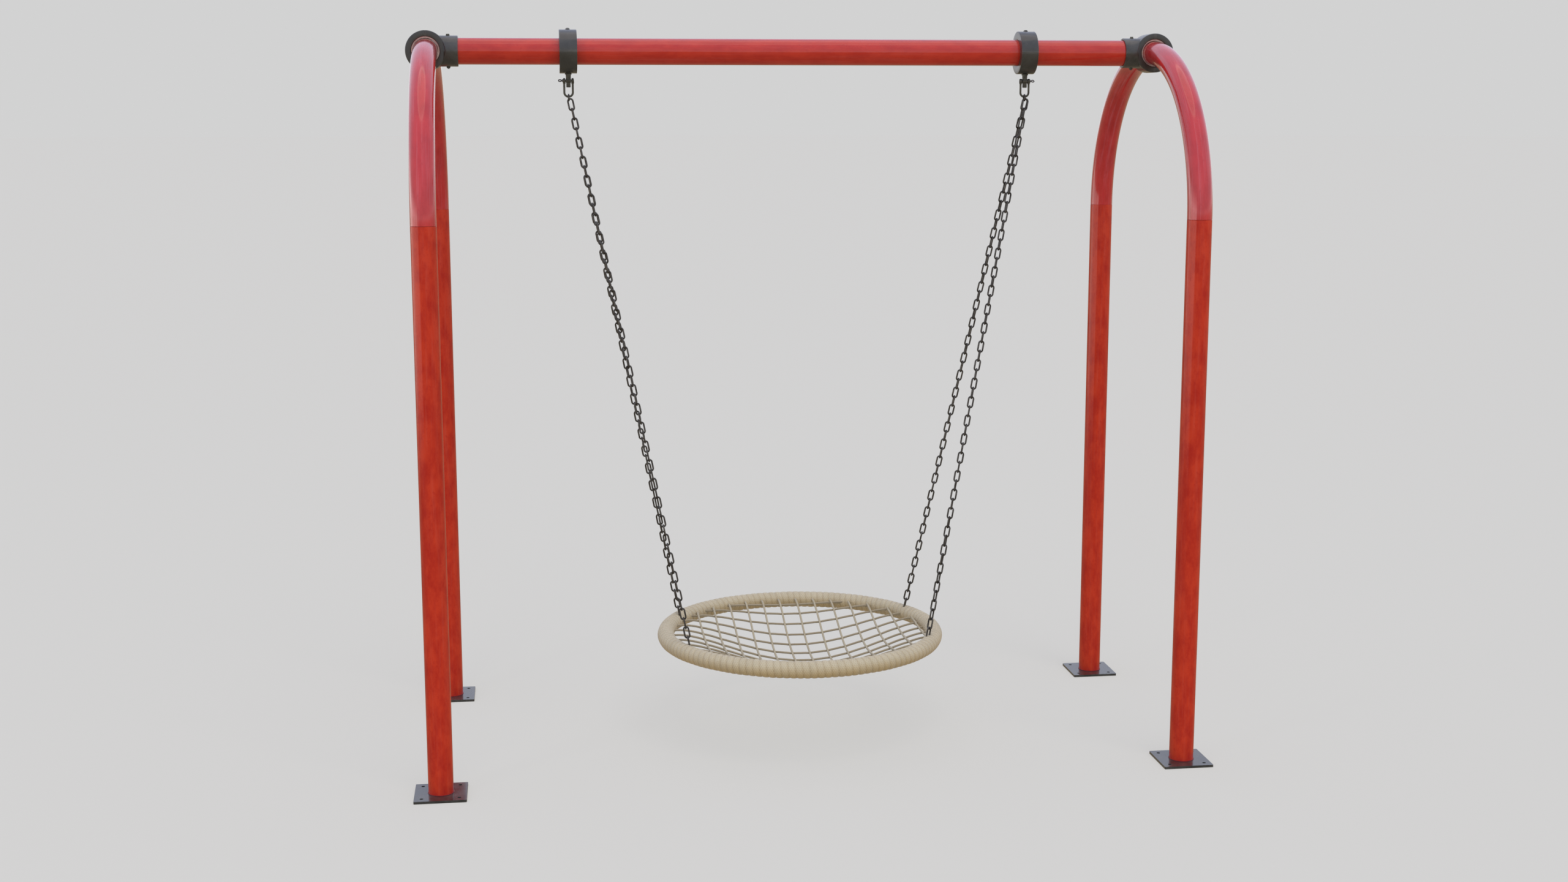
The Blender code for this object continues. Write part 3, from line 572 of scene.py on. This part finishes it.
def make_foot(side, sign, end, depth):
    """Base plate with its four holes, and the weld round the leg."""
    centre = Vector((sign * ARCH_X, depth * ARCH_R, 0))
    half = PLATE_SIDE / 2
    outline = rounded([(-half, -half), (half, -half), (half, half), (-half, half)], 0.004)
    shape = Shape()
    shape.grid([[tuple(centre + Vector((x, y, z))) for x, y in outline] for z in (0, PLATE_T)])
    plate = shape.build(f"foot_plate_{end}_{side}", PLATE_PAINT)
    holes = []
    for across in (-0.5, 0.5):
        for along in (-0.5, 0.5):
            drill = Shape()
            place = centre + PLATE_HOLE_SPACING * (across * X + along * Y)
            lathe(drill, place, Z, X, ((-0.01, PLATE_HOLE_R), (0.03, PLATE_HOLE_R)), 40)
            holes.append(drill.build("drill", PLATE_PAINT))
    cut(plate, holes)
    soften(plate, 0.0010)
    plate.data.shade_flat()
    settle(plate, "frame", "black_paint", f"base_plate_{end}_{side}")

    weld_r, bead_height, beads = 0.0016, 0.0003, 92
    turn = full_turn(240)
    reach = LEG_R + 0.0005
    x, y = centre.x + reach * np.cos(turn), centre.y + reach * np.sin(turn)
    path = np.stack([x, y, np.full(len(turn), PLATE_T + 0.0010)], -1)
    radius = weld_r + bead_height * np.sin(turn * (beads / 2)) ** 2
    weld = Shape()
    sweep(weld, path, radius, 10, Z, closed=True)
    settle(weld.build(f"foot_weld_{end}_{side}", WELD_PAINT), "frame", "red_paint")


def collar_half(centre, towards):
    """Half of the collar's wall, with its flared bore, split from the other half by a fine line."""
    wall = [
        (-COLLAR_LAND, COLLAR_BORE_R),
        (-COLLAR_HALF, COLLAR_MOUTH_R),
        (-COLLAR_HALF, COLLAR_R),
        (COLLAR_HALF, COLLAR_R),
        (COLLAR_HALF, COLLAR_MOUTH_R),
        (COLLAR_LAND, COLLAR_BORE_R),
    ]
    shape = Shape()
    lathe(shape, centre, Y, towards, rounded(wall, 0.0032, 4), 73, arc=(-89.7, 89.7))
    return shape


def make_collar_inner(side, centre, inward):
    """The half with the beam's socket. The socket starts on the collar's round outside."""
    shape = collar_half(centre, inward)
    turn = full_turn(96)
    start = np.sqrt((COLLAR_R - 0.0035) ** 2 - (SOCKET_R * np.sin(turn)) ** 2)
    bore, lip = BEAM_R + 0.0004, SOCKET_REACH
    rows = (
        (start, bore),
        (start, SOCKET_R - 0.0035),
        (start + 0.0006, SOCKET_R - 0.0015),
        (start + 0.0022, SOCKET_R - 0.0003),
        (start + 0.004, SOCKET_R),
        (lip - 0.003, SOCKET_R),
        (lip - 0.001, SOCKET_R - 0.0006),
        (lip - 0.0003, SOCKET_R - 0.0016),
        (lip, SOCKET_R - 0.003),
        (lip, bore + 0.0018),
        (lip - 0.0006, bore + 0.0006),
        (lip - 0.007, bore),
        (0.070, bore),
    )
    points = []
    for along, radius in rows:
        x = centre.x + inward.x * np.broadcast_to(along, turn.shape)
        points.append(np.stack([x, radius * np.cos(turn), centre.z + radius * np.sin(turn)], -1))
    shape.grid(points, caps=False)
    made = shape.build(f"collar_body_{side}", CASTING, 50.0)
    settle(made, "frame", "black_casting", f"collar_inner_{side}")


def make_collar_outer(side, centre, outward):
    """The half that the two cap screws hold, with their holes."""
    made = collar_half(centre, outward).build(f"collar_cap_{side}", CASTING, 50.0)
    hole_r = 0.0072
    drills = []
    for level in (-COLLAR_SCREW_Z, COLLAR_SCREW_Z):
        drill = Shape()
        lathe(drill, centre + level * Z, outward, Y, ((COLLAR_SCREW_SEAT, hole_r), (0.09, hole_r)), 32)
        drills.append(drill.build("drill", CASTING))
    cut(made, drills)
    shade(made.data, 50.0)
    settle(made, "frame", "black_casting", f"collar_outer_{side}")


def make_collar_liner(side, centre):
    """The pale ring that shows in each mouth of the collar, round the arch."""
    start, face = COLLAR_LAND + 0.004, COLLAR_HALF - 0.0050
    inside = LEG_R + 0.0006
    section = (
        (start, inside),
        (face - 0.006, inside),
        (face, COLLAR_MOUTH_R - 0.0014),
        (face + 0.0008, COLLAR_MOUTH_R - 0.0006),
        (start, COLLAR_BORE_R + 0.0002),
    )
    shape = Shape()
    for sense in (-1, 1):
        lathe(shape, centre, sense * Y, Z, section, 96, closed=True)
    settle(shape.build(f"collar_liner_{side}", PALE_NYLON), "frame", "bush_nylon")


def make_collar_screws(side, centre, outward):
    """The two cap screws in the outer half, each a head with a round recess."""
    head_r, head, recess_r, recess = 0.0062, 0.0080, 0.0033, 0.0040
    profile = (
        (0.0, head_r),
        (head - 0.0010, head_r),
        (head, head_r - 0.0007),
        (head, recess_r + 0.0001),
        (recess, recess_r - 0.0001),
        (recess, 0.0002),
    )
    for place, level in (("lower", -COLLAR_SCREW_Z), ("upper", COLLAR_SCREW_Z)):
        shape = Shape()
        seat = centre + level * Z + COLLAR_SCREW_SEAT * outward
        lathe(shape, seat, outward, Z, profile, 36)
        screw = shape.build(f"collar_cap_screw_{place}_{side}", ZINC)
        settle(screw, "frame", "zinc_steel", f"collar_screw_{place}_{side}")


def make_socket_bolt(side, centre, inward):
    """Washer and hexagon above and below the socket, with the bolt's end below."""
    middle_point = centre + SOCKET_BOLT_X * inward
    shape = Shape()
    for sense in (-1, 1):
        washer = ((0.0585, 0.0080), (0.0612, 0.0080), (0.0616, 0.0074))
        lathe(shape, middle_point, sense * Z, X, washer, 32)
        hexagon(shape, middle_point, sense * Z, X, 0.0060, 0.0614, 0.0662)
    thread = ((0.060, 0.0038), (0.0676, 0.0038), (0.0684, 0.0030))
    lathe(shape, middle_point, -Z, X, thread, 24)
    made = shape.build(f"socket_bolt_set_{side}", FORGED, 25.0)
    settle(made, "frame", "zinc_steel", f"socket_bolt_{side}")


def make_collar(side, sign):
    """The split casting that joins the beam to an arch, with what is in and on it."""
    centre = Vector((sign * ARCH_X, 0, BEAM_Z))
    inward = -sign * X
    make_collar_inner(side, centre, inward)
    make_collar_outer(side, centre, -inward)
    make_collar_liner(side, centre)
    make_collar_screws(side, centre, -inward)
    make_socket_bolt(side, centre, inward)


# ---------------------------------------------------------------- hangers

def hanger_x(side):
    """Where along the beam the seat hangs."""
    return middle(f"clamp_upper_{side}").x


def make_clamp(side):
    """The two halves of the ring round the beam, with a fine line between them."""
    centre = Vector((hanger_x(side), 0, BEAM_Z))
    bore = BEAM_R + 0.0003
    wall = [(-CLAMP_HALF, bore), (-CLAMP_HALF, CLAMP_R), (CLAMP_HALF, CLAMP_R), (CLAMP_HALF, bore)]
    for place, up in (("upper", 1), ("lower", -1)):
        shape = Shape()
        lathe(shape, centre, X, up * Z, rounded(wall, 0.0022, 4), 97, arc=(-89.8, 89.8))
        made = shape.build(f"clamp_half_{place}_{side}", CASTING, 50.0)
        settle(made, "frame", "black_casting", f"clamp_{place}_{side}")


def make_lug(side):
    """Rod through the clamp with its neck and flange, the barrel round the pin, and the tongue."""
    pin = Vector((hanger_x(side), 0, PIN_Z))
    under, top = BEAM_Z - CLAMP_R - PIN_Z, BEAM_Z + CLAMP_R - PIN_Z     # of the clamp, over the pin
    neck_r, flange_r, rod_r = 0.0104, 0.0132, 0.005
    shape = Shape()
    neck = (
        (0.004, 0.0098),
        (0.012, 0.0098),
        (0.0165, neck_r),
        (under - 0.0045, neck_r),
        (under - 0.0045, flange_r),
        (under - 0.0008, flange_r),
        (under, flange_r - 0.0008),
        (under + 0.001, rod_r),
        (top + 0.0052, rod_r),
        (top + 0.0060, rod_r - 0.001),
    )
    lathe(shape, pin, Z, X, neck, 40)
    half, barrel_r, bevel, bore_r = 0.00975, 0.00975, 0.0008, 0.0062
    barrel = (
        (-half, bore_r),
        (-half, 0.0090),
        (bevel - half, barrel_r),
        (half - bevel, barrel_r),
        (half, 0.0090),
        (half, bore_r),
    )
    lathe(shape, pin, X, Z, barrel, 48)
    x_half, y_half = 0.0085, 0.005
    corners = [(-x_half, -y_half), (x_half, -y_half), (x_half, y_half), (-x_half, y_half)]
    tongue = rounded(corners, 0.002)
    levels = ((0.0, 1.0), (-0.0240, 1.0), (-0.0258, 0.94), (-0.0265, 0.80))
    shape.grid([[tuple(pin + Vector((x * share, y * share, z))) for x, y in tongue] for z, share in levels])
    settle(shape.build(f"hanger_eye_{side}", FORGED, 32.0), "frame", "forged_steel", f"hanger_lug_{side}")

    shape = Shape()
    cap = pin + top * Z
    lathe(shape, cap, Z, X, ((-0.0004, 0.0098), (0.0010, 0.0098), (0.0014, 0.0092)), 32)
    hexagon(shape, cap, Z, X, 0.0070, 0.0012, 0.0048, 0.0014)
    settle(shape.build(f"hanger_top_nut_{side}", ZINC, 25.0), "frame", "zinc_steel", f"hanger_nut_{side}")


def make_shackle(side, sign):
    """The shackle on the lug, and the ring in it that the two chains start from."""
    pin = Vector((hanger_x(side), 0, PIN_Z))
    make_shackle_bow(side, pin)
    make_shackle_pin(side, pin, sign * X)
    ring = top_ring_centre(side)
    turn = full_turn(36)
    x, y, z = np.full(len(turn), ring.x), TOP_RING_R * np.cos(turn), ring.z + TOP_RING_R * np.sin(turn)
    shape = Shape()
    sweep(shape, np.stack([x, y, z], -1), CHAIN_WIRE_R, 14, X, closed=True)
    settle(shape.build(f"joining_ring_{side}", CHAIN_STEEL), "swing", "chain_steel", f"top_ring_{side}")


def make_shackle_bow(side, pin):
    """The bent bar, two round ears on the pin, and the swelling under each ear."""
    turn = np.radians(np.linspace(0, 180, 41))
    bow_x, bow_z = SHACKLE_HALF * np.cos(turn), -SHACKLE_STRAIGHT - SHACKLE_HALF * np.sin(turn)
    legs = np.linspace(-0.004, -SHACKLE_STRAIGHT, 10)[:-1]
    side_x = np.full(len(legs), SHACKLE_HALF)
    x = np.concatenate([side_x, bow_x, -side_x])
    z = np.concatenate([legs, bow_z, legs[::-1]])
    shape = Shape()
    sweep(shape, np.stack([pin.x + x, np.zeros(len(x)), pin.z + z], -1), SHACKLE_WIRE_R, 20, Y)
    ear = (
        (EAR_INNER, EAR_R - 0.0008),
        (EAR_INNER + 0.0008, EAR_R),
        (EAR_OUTER - 0.0012, EAR_R),
        (EAR_OUTER, EAR_R - 0.0012),
    )
    swelling = ((-0.008, SHACKLE_WIRE_R), (-0.003, 0.0056), (0.002, 0.0060))
    for sense in (-1, 1):
        lathe(shape, pin, sense * X, Z, ear, 40)
        root = pin + Vector((sense * (EAR_INNER + EAR_OUTER) / 2, 0, -0.006))
        lathe(shape, root, Z, X, swelling, 24)
    settle(shape.build(f"shackle_bow_{side}", FORGED), "swing", "forged_steel", f"shackle_{side}")


def make_shackle_pin(side, pin, outward):
    """The screw pin, with a flange and a small leaning eye at its outer end."""
    pin_r, flange_r, eye_r, eye_wire_r = 0.0045, 0.0060, 0.0056, 0.0021
    stem = (
        (-EAR_OUTER - 0.0012, pin_r - 0.0015),
        (-EAR_OUTER - 0.0006, pin_r - 0.0001),
        (-EAR_OUTER, pin_r),
        (EAR_OUTER, pin_r),
        (EAR_OUTER + 0.0001, flange_r),
        (EAR_OUTER + 0.0026, flange_r),
        (EAR_OUTER + 0.0032, 0.0036),
        (EAR_OUTER + 0.0062, 0.0034),
    )
    shape = Shape()
    lathe(shape, pin, outward, Z, stem, 32)
    eye = pin + 0.0335 * outward
    turn = full_turn(36)
    lean = math.radians(50)
    up = eye_r * np.sin(turn)
    path = np.stack([eye.x + eye_r * np.cos(turn), up * math.sin(lean), eye.z + up * math.cos(lean)], -1)
    sweep(shape, path, eye_wire_r, 12, (0, math.cos(lean), -math.sin(lean)), closed=True)
    made = shape.build(f"shackle_screw_pin_{side}", ZINC)
    settle(made, "swing", "forged_steel", f"shackle_pin_{side}")


# ---------------------------------------------------------------- chains

def top_ring_centre(side):
    """The middle of the ring that hangs in the shackle's bow."""
    bow = PIN_Z - SHACKLE_STRAIGHT - SHACKLE_HALF + SHACKLE_WIRE_R
    return Vector((hanger_x(side), 0, bow + 0.0003 - TOP_RING_R + CHAIN_WIRE_R))


def eye_angle(sign, depth):
    """Where a chain meets the seat ring, in degrees from +X towards +Y."""
    return {
        (1, 1): EYE_ANGLE,
        (-1, 1): 180 - EYE_ANGLE,
        (-1, -1): 180 + EYE_ANGLE,
        (1, -1): -EYE_ANGLE,
    }[sign, depth]


def link_path(half_length, half_width, count=14):
    """The middle line of a long link, in its own plane: across, along."""
    turn = np.linspace(0, math.pi, count)
    straight = half_length - half_width
    bow = np.stack([half_width * np.cos(turn), straight + half_width * np.sin(turn)], -1)
    side = np.array([[-half_width, straight * s] for s in (0.5, 0.0, -0.5)])
    return np.concatenate([bow, side, -bow, -side])


def make_chain(side, sign, end, depth, random):
    """Real interlocked links, each turned square to the last, with a little play.

    The photo shows the lower links of the two right chains turned further round.
    """
    ring = top_ring_centre(side)
    top = ring + depth * CHAIN_APART * Y - (TOP_RING_R - CHAIN_WIRE_R) * Z + CHAIN_SHIFT * X
    turn = math.radians(eye_angle(sign, depth))
    reach = SEAT_R - EYE_INSET
    low = Vector((SEAT.x + CHAIN_SHIFT + reach * math.cos(turn), reach * math.sin(turn), CHAIN_LOW_Z))
    along = (low - top).normalized()
    pitch = (low - top).length / LINKS
    flat = link_path((pitch + 2 * CHAIN_WIRE_R) / 2, LINK_HALF_WIDTH)
    twist_at_end = {(1, -1): 0.90, (1, 1): 0.42}.get((sign, depth), 0.10)
    shape = Shape()
    for k in range(LINKS):
        play = random.uniform(-0.07, 0.07) if 0 < k < LINKS - 1 else 0.0
        spin = (math.pi / 2) * (k % 2) + twist_at_end * (k / LINKS) ** 3 + play
        across = Quaternion(along, spin) @ (X - X.dot(along) * along).normalized()
        place = top + ((k + 0.5) * pitch) * along
        points = np.array(place) + flat[:, :1] * np.array(across) + flat[:, 1:] * np.array(along)
        sweep(shape, points, CHAIN_WIRE_R, 10, along.cross(across), closed=True)
    made = shape.build(f"link_chain_{end}_{side}", CHAIN_STEEL)
    settle(made, "swing", "chain_steel", f"chain_{end}_{side}", f"chain_eye_{end}_{side}")


# ---------------------------------------------------------------- seat

TURNS = 130                    # of the winding, all the way round the ring
RIDGE = 0.0036                 # from the crown of a turn down to the groove beside it


def make_winding(random):
    """The rope wound round the padded ring, its turns side by side, in a piece for each quarter."""
    grown = random.uniform(0.86, 1.12, TURNS + 2)
    leans = random.uniform(-0.06, 0.06, TURNS + 2)
    limits = (
        ("rear", EYE_ANGLE, 180 - EYE_ANGLE),
        ("left", 180 - EYE_ANGLE, 180 + EYE_ANGLE),
        ("front", 180 + EYE_ANGLE, 360 - EYE_ANGLE),
        ("right", 360 - EYE_ANGLE, 360 + EYE_ANGLE),
    )
    rows_per_turn = 12
    round_tube = full_turn(64)[None, :]
    for name, start, finish in limits:
        rows = round((finish - start) / 360 * TURNS * rows_per_turn) + 1
        round_ring = np.radians(np.linspace(start, finish, rows))[:, None]
        phase = round_ring / math.tau * TURNS + round_tube / math.tau
        number = np.floor(phase).astype(int)
        within = phase - number
        number %= TURNS
        shifted = within + leans[number] * np.sin(round_tube) * within * (1 - within)
        hump = (1 - np.abs(2 * np.clip(shifted, 0, 1) - 1) ** 2.2) ** 0.55
        sway = 0.00035 * np.sin(5 * round_ring + 2 * round_tube)
        sway = sway + 0.00025 * np.sin(23 * round_ring - round_tube)
        radius = WRAP_R - 0.0006 - RIDGE * (1 - hump * (0.90 + 0.10 * grown[number])) + sway
        out = SEAT_R + radius * np.cos(round_tube)
        x, y = SEAT.x + out * np.cos(round_ring), out * np.sin(round_ring)
        shape = Shape()
        shape.grid(np.stack([x, y, SEAT.z + radius * np.sin(round_tube)], -1))
        uvs = shape.uvs[0].reshape(-1, 4, 2)       # the shape's own, seen quad by quad
        around, travelled = uvs[:, :, 0].copy(), uvs[:, :, 1].copy()
        first, span = (math.radians(angle) / math.tau * TURNS for angle in (start, finish - start))
        uvs[:, :, 0] = first + travelled * span + around
        uvs[:, :, 1] = around
        made = shape.build(f"rope_winding_{name}", WINDING, 80.0)
        settle(made, "swing", "rope", f"rope_wrap_{name}", f"padding_{name}")


def net_sag(x, y):
    """How far the net hangs below the ring's middle."""
    spread = np.minimum(1.0, np.hypot(x - NET_LOWEST[0], y - NET_LOWEST[1]) / NET_SAG_R)
    return NET_SAG * (1 - spread * spread) ** NET_SAG_POWER - NET_LIFT


def net_lines(pitch, offset):
    """Where the ropes of one direction lie, from the seat's middle."""
    return [offset + (k - (NET_LINES - 1) / 2) * pitch for k in range(NET_LINES)]


def make_net(random):
    """The ropes of the net: those along Y pass over those along X, and bend a little at each crossing."""
    rope_r, lift, crossing_r, step, cover_pitch = 0.0043, 0.0034, 0.012, 0.006, 0.010
    reach = SEAT_R - 0.022
    columns = net_lines(NET_PITCH_X, NET_OFFSET_X)
    rows = net_lines(NET_PITCH_Y, NET_OFFSET_Y)
    nets = [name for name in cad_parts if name.startswith("net_")]
    for name, lines, crossings, over, paint in (
        ("net_ropes_lengthwise", columns, rows, 1, COLUMN_ROPE),
        ("net_ropes_crosswise", rows, columns, -1, SHADED_ROW_ROPE),
    ):
        shape = Shape()
        for line in lines:
            half = math.sqrt(reach * reach - line * line)
            count = int(half * 2 / step) + 2
            t = np.linspace(-half, half, count)
            wander = 0.0012 * np.sin(t * random.uniform(5, 9) + random.uniform(0, 6.28))
            across = line + wander * (1 - (t / half) ** 2)
            x, y = (across, t) if over > 0 else (t, across)
            pull = sum(np.exp(-(((t - crossing) / crossing_r) ** 2)) for crossing in crossings)
            z = SEAT.z - net_sag(x, y) + over * lift * (0.55 + 0.45 * np.minimum(pull, 1.0))
            path = np.stack([SEAT.x + x, y, z], -1)
            sweep(shape, path, rope_r, 14, Z, uv=(2.0, count * step / cover_pitch))
        settle(shape.build(name, paint, 80.0), "swing", "rope", *nets)


# ---------------------------------------------------------------- stage, light, camera

FLOOR_R = 220.0
FLOOR_GLOW = 0.458
BACKDROP = 0.645
SKY_BRIGHTEST = 4.0
SKY = (                          # height of the ray, from -1 straight down to 1 straight up, and colour
    (-1.00, (0.24, 0.20, 0.13)),
    (-0.06, (0.36, 0.29, 0.19)),
    (-0.01, (0.60, 0.56, 0.50)),
    (0.02, (1.20, 1.20, 1.22)),
    (0.07, (0.80, 0.83, 0.92)),
    (0.50, (0.70, 0.76, 0.98)),
    (0.90, (0.72, 0.80, 1.06)),
    (0.925, (2.10, 1.95, 1.95)),
    (0.945, (1.25, 1.20, 1.30)),
    (1.00, (1.25, 1.20, 1.30)),
)
WALL_STRENGTH = 1.6
WALL_EDGES = (("X", -0.70, -0.76), ("Z", 0.16, 0.02), ("Z", -0.152, -0.140))  # axis, no wall, full wall
CAMERA_PLACE = (-1.1179, -7.8858, 2.5788)
CAMERA_ANGLES = (7.665, -9.592, -0.05)       # yaw to the right of +Y, pitch and roll, in degrees
CAMERA_LENS, CAMERA_SENSOR = 44.62, 36.0     # millimetres


def make_stage():
    """A matt floor that glows a little, so that it's as bright as the backdrop all over."""
    bm = bmesh.new()
    bmesh.ops.create_circle(bm, cap_ends=True, segments=96, radius=FLOOR_R)
    mesh = bpy.data.meshes.new("studio_floor")
    bm.to_mesh(mesh)
    bm.free()
    paint = Paint("studio_floor", 0.9)
    paint.shader.inputs["Specular IOR Level"].default_value = 0.0
    paint.set("Base Color", (0.16, 0.16, 0.16))
    paint.set("Emission Color", (1.0, 0.985, 0.93))
    paint.set("Emission Strength", FLOOR_GLOW)
    mesh.materials.append(paint.material)
    floor = bpy.data.objects.new("studio_floor", mesh)
    bpy.context.scene.collection.objects.link(floor)
    floor.location.z = -0.0002
    floor.visible_glossy = False


def make_world():
    """An even pale backdrop for the camera; for the light, sky and ground of a yard under cloud."""
    world = bpy.data.worlds.new("studio")
    bpy.context.scene.world = world
    world.use_nodes = True
    tree = world.node_tree

    def node(kind, **settings):
        made = tree.nodes.new("ShaderNode" + kind)
        for key, value in settings.items():
            setattr(made, key, value)
        return made

    def background(colour, strength=1.0):
        made = node("Background")
        if isinstance(colour, tuple):
            made.inputs["Color"].default_value = (*colour, 1.0)
        else:
            tree.links.new(colour, made.inputs["Color"])
        made.inputs["Strength"].default_value = strength
        return made

    parts, ray = node("SeparateXYZ"), node("LightPath")
    tree.links.new(node("TexCoord").outputs["Generated"], parts.inputs[0])

    # Sky and ground, by the height that a ray goes to
    height, ramp = node("MapRange"), node("ValToRGB")
    height.inputs["From Min"].default_value = -1.0
    tree.links.new(parts.outputs["Z"], height.inputs["Value"])
    tree.links.new(height.outputs["Result"], ramp.inputs["Fac"])
    while len(ramp.color_ramp.elements) < len(SKY):
        ramp.color_ramp.elements.new(0.5)
    for element, (z, colour) in zip(ramp.color_ramp.elements, SKY):
        element.position = (z + 1) / 2
        element.color = (*(c / SKY_BRIGHTEST for c in colour), 1.0)
    sky = background(ramp.outputs["Color"], SKY_BRIGHTEST)

    # A pale wall far to the left, which only the gloss paint shows, as a band down each upright tube
    share = ray.outputs["Is Glossy Ray"]
    for axis, none, full in WALL_EDGES:
        edge, both = node("MapRange"), node("Math", operation="MULTIPLY")
        edge.inputs["From Min"].default_value, edge.inputs["From Max"].default_value = none, full
        tree.links.new(parts.outputs[axis], edge.inputs["Value"])
        tree.links.new(edge.outputs["Result"], both.inputs[0])
        tree.links.new(share, both.inputs[1])
        share = both.outputs[0]
    strength = node("Math", operation="MULTIPLY")
    strength.inputs[1].default_value = WALL_STRENGTH
    tree.links.new(share, strength.inputs[0])
    wall = background((1.0, 0.96, 0.90))
    tree.links.new(strength.outputs[0], wall.inputs["Strength"])

    both, pick = node("AddShader"), node("MixShader")
    tree.links.new(sky.outputs[0], both.inputs[0])
    tree.links.new(wall.outputs[0], both.inputs[1])
    tree.links.new(ray.outputs["Is Camera Ray"], pick.inputs["Fac"])
    tree.links.new(both.outputs[0], pick.inputs[1])
    tree.links.new(background((BACKDROP, BACKDROP, BACKDROP)).outputs[0], pick.inputs[2])
    tree.links.new(pick.outputs[0], tree.nodes["World Output"].inputs["Surface"])


def add_light(name, light, towards):
    """A light that shines from the side that towards points to, and that no gloss mirrors."""
    made = bpy.data.objects.new(name, light)
    made.rotation_mode = "QUATERNION"
    made.rotation_quaternion = towards.to_track_quat("Z", "Y")
    made.visible_glossy = False
    bpy.context.scene.collection.objects.link(made)
    return made


def make_softbox(name, place, target, size, power):
    """A tall rectangular light that the camera doesn't see."""
    light = bpy.data.lights.new(name, "AREA")
    light.shape, light.size, light.size_y, light.energy = "RECTANGLE", *size, power
    made = add_light(name, light, Vector(place) - Vector(target))
    made.location = place
    made.visible_camera = False


def make_sun(name, azimuth, elevation, strength, spread, colour):
    """A sun seen azimuth degrees to the right of -Y, and spread degrees wide."""
    light = bpy.data.lights.new(name, "SUN")
    light.energy, light.angle, light.color = strength, math.radians(spread), colour
    a, e = math.radians(azimuth), math.radians(elevation)
    add_light(name, light, Vector((math.sin(a) * math.cos(e), -math.cos(a) * math.cos(e), math.sin(e))))


def make_camera():
    """The photo's own camera, fitted to the beam, the legs, their plates and the seat."""
    yaw, pitch, roll = (math.radians(angle) for angle in CAMERA_ANGLES)
    forward = Vector((math.sin(yaw) * math.cos(pitch), math.cos(yaw) * math.cos(pitch), math.sin(pitch)))
    data = bpy.data.cameras.new("camera")
    data.sensor_width, data.lens = CAMERA_SENSOR, CAMERA_LENS
    data.clip_start, data.clip_end = 0.1, 500.0
    made = bpy.data.objects.new("camera", data)
    made.location = CAMERA_PLACE
    made.rotation_mode = "QUATERNION"
    made.rotation_quaternion = forward.to_track_quat("-Z", "Y") @ Quaternion(Z, roll)
    bpy.context.scene.collection.objects.link(made)
    bpy.context.scene.camera = made


def paint_hidden_nodes():
    """The nodes that stay the CAD's own: the core inside the ring and the bushes on the pins."""
    for name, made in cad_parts.items():
        if not made.hide_render:
            made.data.materials.clear()
            made.data.materials.append(BUSH_NYLON if name.startswith("pin_bush") else ZINC)


def main():
    random = np.random.RandomState(7)
    make_beam()
    for side, sign in SIDES:
        make_arch(side, sign)
        make_collar(side, sign)
        make_clamp(side)
        make_lug(side)
        make_shackle(side, sign)
        for end, depth in ENDS:
            make_leg(side, sign, end, depth)
            make_foot(side, sign, end, depth)
            make_chain(side, sign, end, depth, random)
    make_winding(random)
    make_net(random)
    paint_hidden_nodes()
    make_stage()
    make_world()
    make_sun("key_light", azimuth=12, elevation=56, strength=1.25, spread=40, colour=(1.0, 0.93, 0.80))
    make_softbox("left_strip", place=(-7.5, -6.5, 3.4), target=(0, 0, 1.4), size=(1.6, 4.4), power=80)
    make_softbox("right_strip", place=(6.5, -8.5, 3.4), target=(0, 0, 1.4), size=(1.4, 4.4), power=60)
    make_camera()
    bpy.context.scene.view_settings.view_transform = "Standard"


main()
